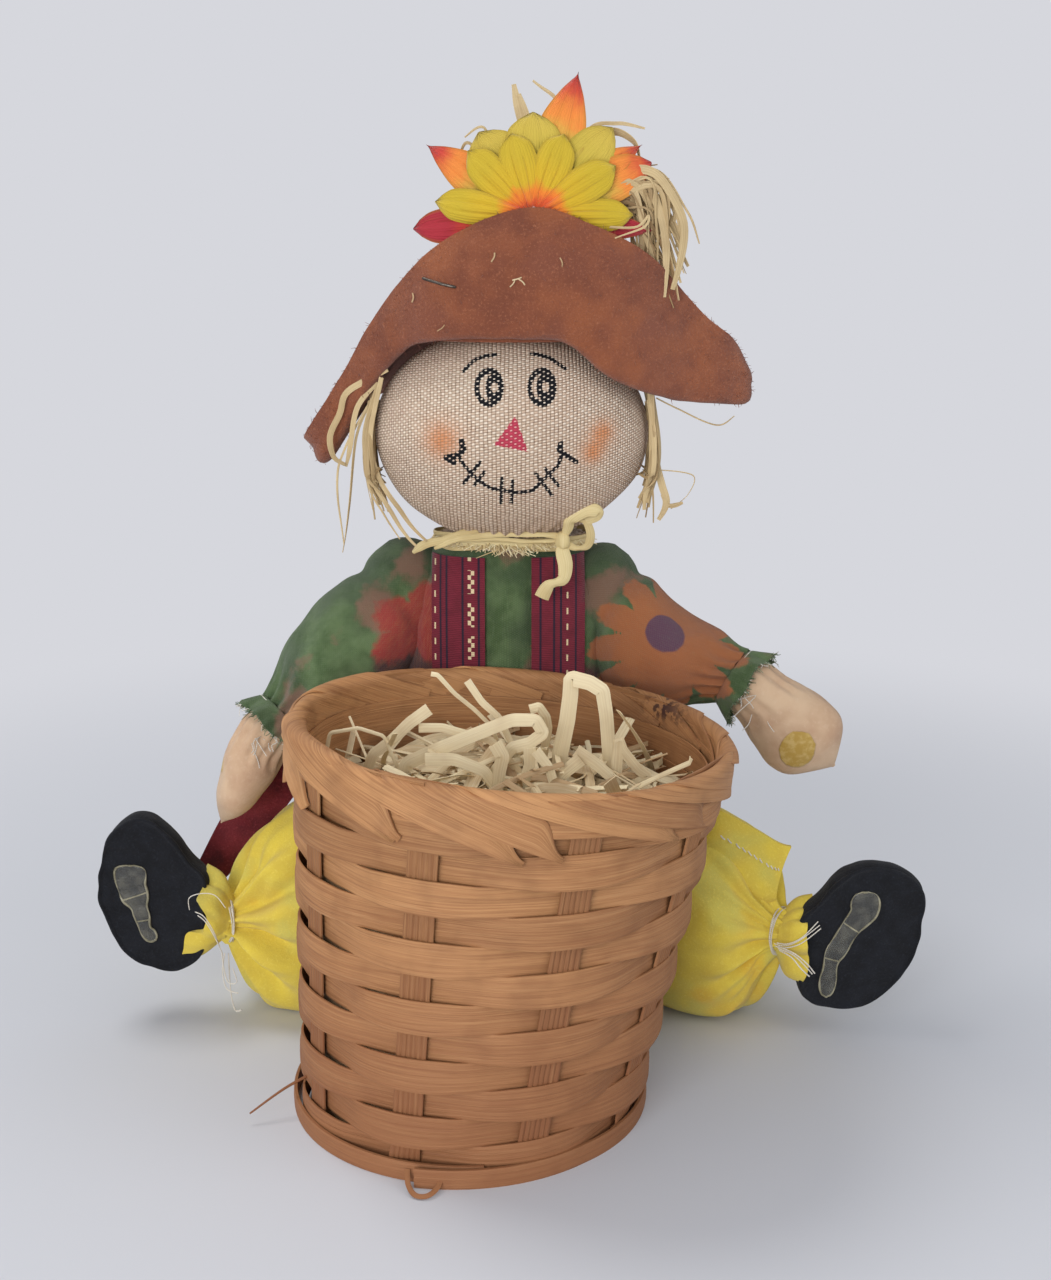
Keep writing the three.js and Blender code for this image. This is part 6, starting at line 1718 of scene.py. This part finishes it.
# Strands of hair that the photograph shows one by one
LOOSE_HAIR = {
    "left": (
        (((-44, -34, 243), (-52, -33, 238.5), (-59, -32, 234), (-61.3, -31, 227), (-64.9, -30, 219),
          (-63.8, -30, 211), (-60, -29, 208)), 2.3),
        (((-48, -32, 238), (-55, -31, 229), (-57.5, -30, 217), (-60, -29, 208)), 1.9),
        (((-46, -35, 240), (-50.3, -34, 219), (-47.6, -33, 204), (-39.6, -34, 191.5), (-31, -35, 181)), 1.7),
        (((-47, -33, 238), (-52.6, -32, 220), (-51, -31, 204), (-43, -32, 190), (-34, -33, 179)), 1.6),
        (((-50, -30, 232), (-56, -29, 218), (-59, -29, 193), (-62, -28, 176)), 1.0),
        (((-50, -30, 232), (-60, -29, 214), (-63, -29, 203), (-61, -28, 178)), 0.8),
        (((-49, -31, 230), (-52, -30, 204), (-46, -30, 190), (-41.4, -29, 180.6)), 0.7),
    ),
    "right": (
        (((49.5, -32, 236), (50.6, -31, 220), (50, -30, 206), (49, -29, 191)), 2.4),
        (((50, -30, 234), (53, -29, 219), (53.6, -28, 208), (51, -27, 197)), 1.6),
        (((52, -28, 216), (52.4, -28, 208.5), (54.5, -28, 201), (56.3, -27, 194.5),
          (53.8, -27, 187.5)), 2.7),
        (((55, -27, 197), (57.5, -27, 193), (62, -27, 194)), 1.7),
        (((52, -27, 232), (60, -26, 228), (74, -26, 222), (80, -26, 225)), 0.5),
        (((54, -27, 206), (66, -26, 204), (64, -26, 197), (58, -26, 192)), 0.4),
    ),
}


def build_hair(side):
    sign = -1 if side == "left" else 1
    skin = Skin()
    dice = rand(141 if side == "left" else 142)
    for _ in range(30):
        y = HEAD_AT[1] - 4 + dice.uniform(-13, 13)
        out = 50.4 + dice.uniform(0, 2.4)
        end = dice.uniform(186, 208)
        start = (HEAD_AT[0] + sign * (49 + dice.uniform(0, 2)), y * 0.8 - 4, dice.uniform(226, 236))
        route = [start, (sign * out, y, 218),
                 (sign * (out - dice.uniform(0, 1)), y + dice.normal(0, 1.5), 205),
                 (sign * (out - dice.uniform(0, 6)), y + dice.normal(0, 3), end)]
        raffia_strand(skin, dice, route, dice.choice([0.5, 0.8, 1.2, 1.8]), dice.uniform(-0.8, 0.4))
    for route, width in LOOSE_HAIR[side]:
        raffia_strand(skin, dice, route, width, dice.uniform(0, 0.5), 34)
    skin.piece(f"{side}_raffia_hair", HAIR, "head", [f"{side}_hair"], "raffia")


for SIDE in ("left", "right"):
    build_sleeve(SIDE)
    build_hand(SIDE)
    build_cuff(SIDE)
    build_leg(SIDE)
    build_ankle_thread(SIDE)
    build_hem(SIDE)
    build_shoe(SIDE)
    build_hair(SIDE)
build_torso()
build_seat()
build_suspenders()
build_neck()
build_neck_tie()
build_flap()
build_tail()
build_stakes()
build_weaver()
build_hoop()
build_border()
build_basket_floor()
build_straw()
build_head()
build_crown()
build_brim_trim(build_brim())
build_flower()
build_hat_raffia()


# Floor, light and camera

# The colour that the camera sees behind the doll, and the floor's own
BACKDROP = rgb(214, 215, 221)

FLOOR_TINT = rgb(206, 208, 214)

def seen_rays(paint):
    """1 for rays that show a surface by itself, to the camera or in gloss and glass, and 0 for its light."""
    rays = paint.node("LightPath").outputs
    return paint.math("MAXIMUM", rays["Is Camera Ray"],
                      paint.math("MAXIMUM", rays["Is Glossy Ray"], rays["Is Transmission Ray"]))


def build_floor():
    """A pale floor that takes the doll's shadow and fades into the backdrop."""
    floor = bpy.data.meshes.new("floor")
    far = 6.0
    floor.from_pydata([(-far, -far, 0), (far, -far, 0), (far, far, 0), (-far, far, 0)], [], [(0, 1, 2, 3)])
    paint = Paint("floor", 0.9)
    paint.colour(FLOOR_TINT)
    x, y, _ = paint.axes(paint.place())
    squares = [paint.math("MULTIPLY", value, value) for value in (x, y)]
    away_from = paint.math("SQRT", paint.math("ADD", *squares))
    fade = paint.math("MULTIPLY", seen_rays(paint), paint.step(away_from, 0.22, 0.6))
    glow = paint.node("Emission", Color=BACKDROP, Strength=1.0)
    shown = paint.node("MixShader")
    for index, value in enumerate((fade, paint.shader.outputs[0], glow.outputs[0])):
        paint.put(shown.inputs[index], value)
    paint.put(paint.tree.nodes["Material Output"].inputs["Surface"], shown.outputs[0])
    floor.materials.append(paint.material)
    made = bpy.data.objects.new("floor", floor)
    bpy.context.scene.collection.objects.link(made)


class Sky(Paint):
    """Builds the world's nodes."""

    def __init__(self):
        world = bpy.data.worlds.new("studio")
        bpy.context.scene.world = world
        world.use_nodes = True
        self.tree = world.node_tree


def build_world():
    """Soft light from all round, and the plain backdrop where it is seen."""
    sky = Sky()
    light = sky.tree.nodes["Background"]
    sky.put(light.inputs["Color"], (0.88, 0.9, 0.94, 1))
    sky.put(light.inputs["Strength"], 0.56)
    plain = sky.node("Background", Color=BACKDROP, Strength=1.0)
    shown = sky.node("MixShader")
    for index, value in enumerate((seen_rays(sky), light.outputs[0], plain.outputs[0])):
        sky.put(shown.inputs[index], value)
    sky.put(sky.tree.nodes["World Output"].inputs["Surface"], shown.outputs[0])


def build_stage():
    build_floor()
    build_world()
    lamps = (
        ("key", (-0.45, 0.15, 1.2), 0.5, 5.2, (1.0, 0.985, 0.96)),
        ("front", (-0.42, -1.27, 0.34), 0.9, 11.5, (0.98, 0.985, 1.0)),
        ("side", (0.9, -0.5, 0.6), 0.8, 2.2, (0.97, 0.985, 1.0)),
    )
    target = np.array([0, -0.05, 0.14])
    for name, at, size, power, tint in lamps:
        lamp = bpy.data.lights.new(name, "AREA")
        lamp.shape = "DISK"
        lamp.size = size
        lamp.energy = power
        lamp.color = tint
        stand = bpy.data.objects.new(name, lamp)
        stand.location = at
        stand.rotation_euler = aim(at, target)
        bpy.context.scene.collection.objects.link(stand)


def aim(at, target):
    """Turns that point a lamp at a target."""
    dx, dy, dz = np.array(target) - np.array(at)
    return (math.atan2(math.hypot(dx, dy), -dz), 0, math.atan2(dy, dx) - math.pi / 2)


def build_camera():
    lens = bpy.data.cameras.new("camera")
    lens.sensor_fit = "VERTICAL"
    lens.sensor_height = 36
    lens.lens = CAMERA_LENS
    camera = bpy.data.objects.new("camera", lens)
    camera.location = [c * MM for c in CAMERA_AT]
    camera.rotation_euler = (math.radians(90 - CAMERA_DOWN), 0, 0)
    bpy.context.scene.collection.objects.link(camera)
    bpy.context.scene.camera = camera


build_stage()
build_camera()
bpy.context.scene.view_settings.view_transform = "Standard"
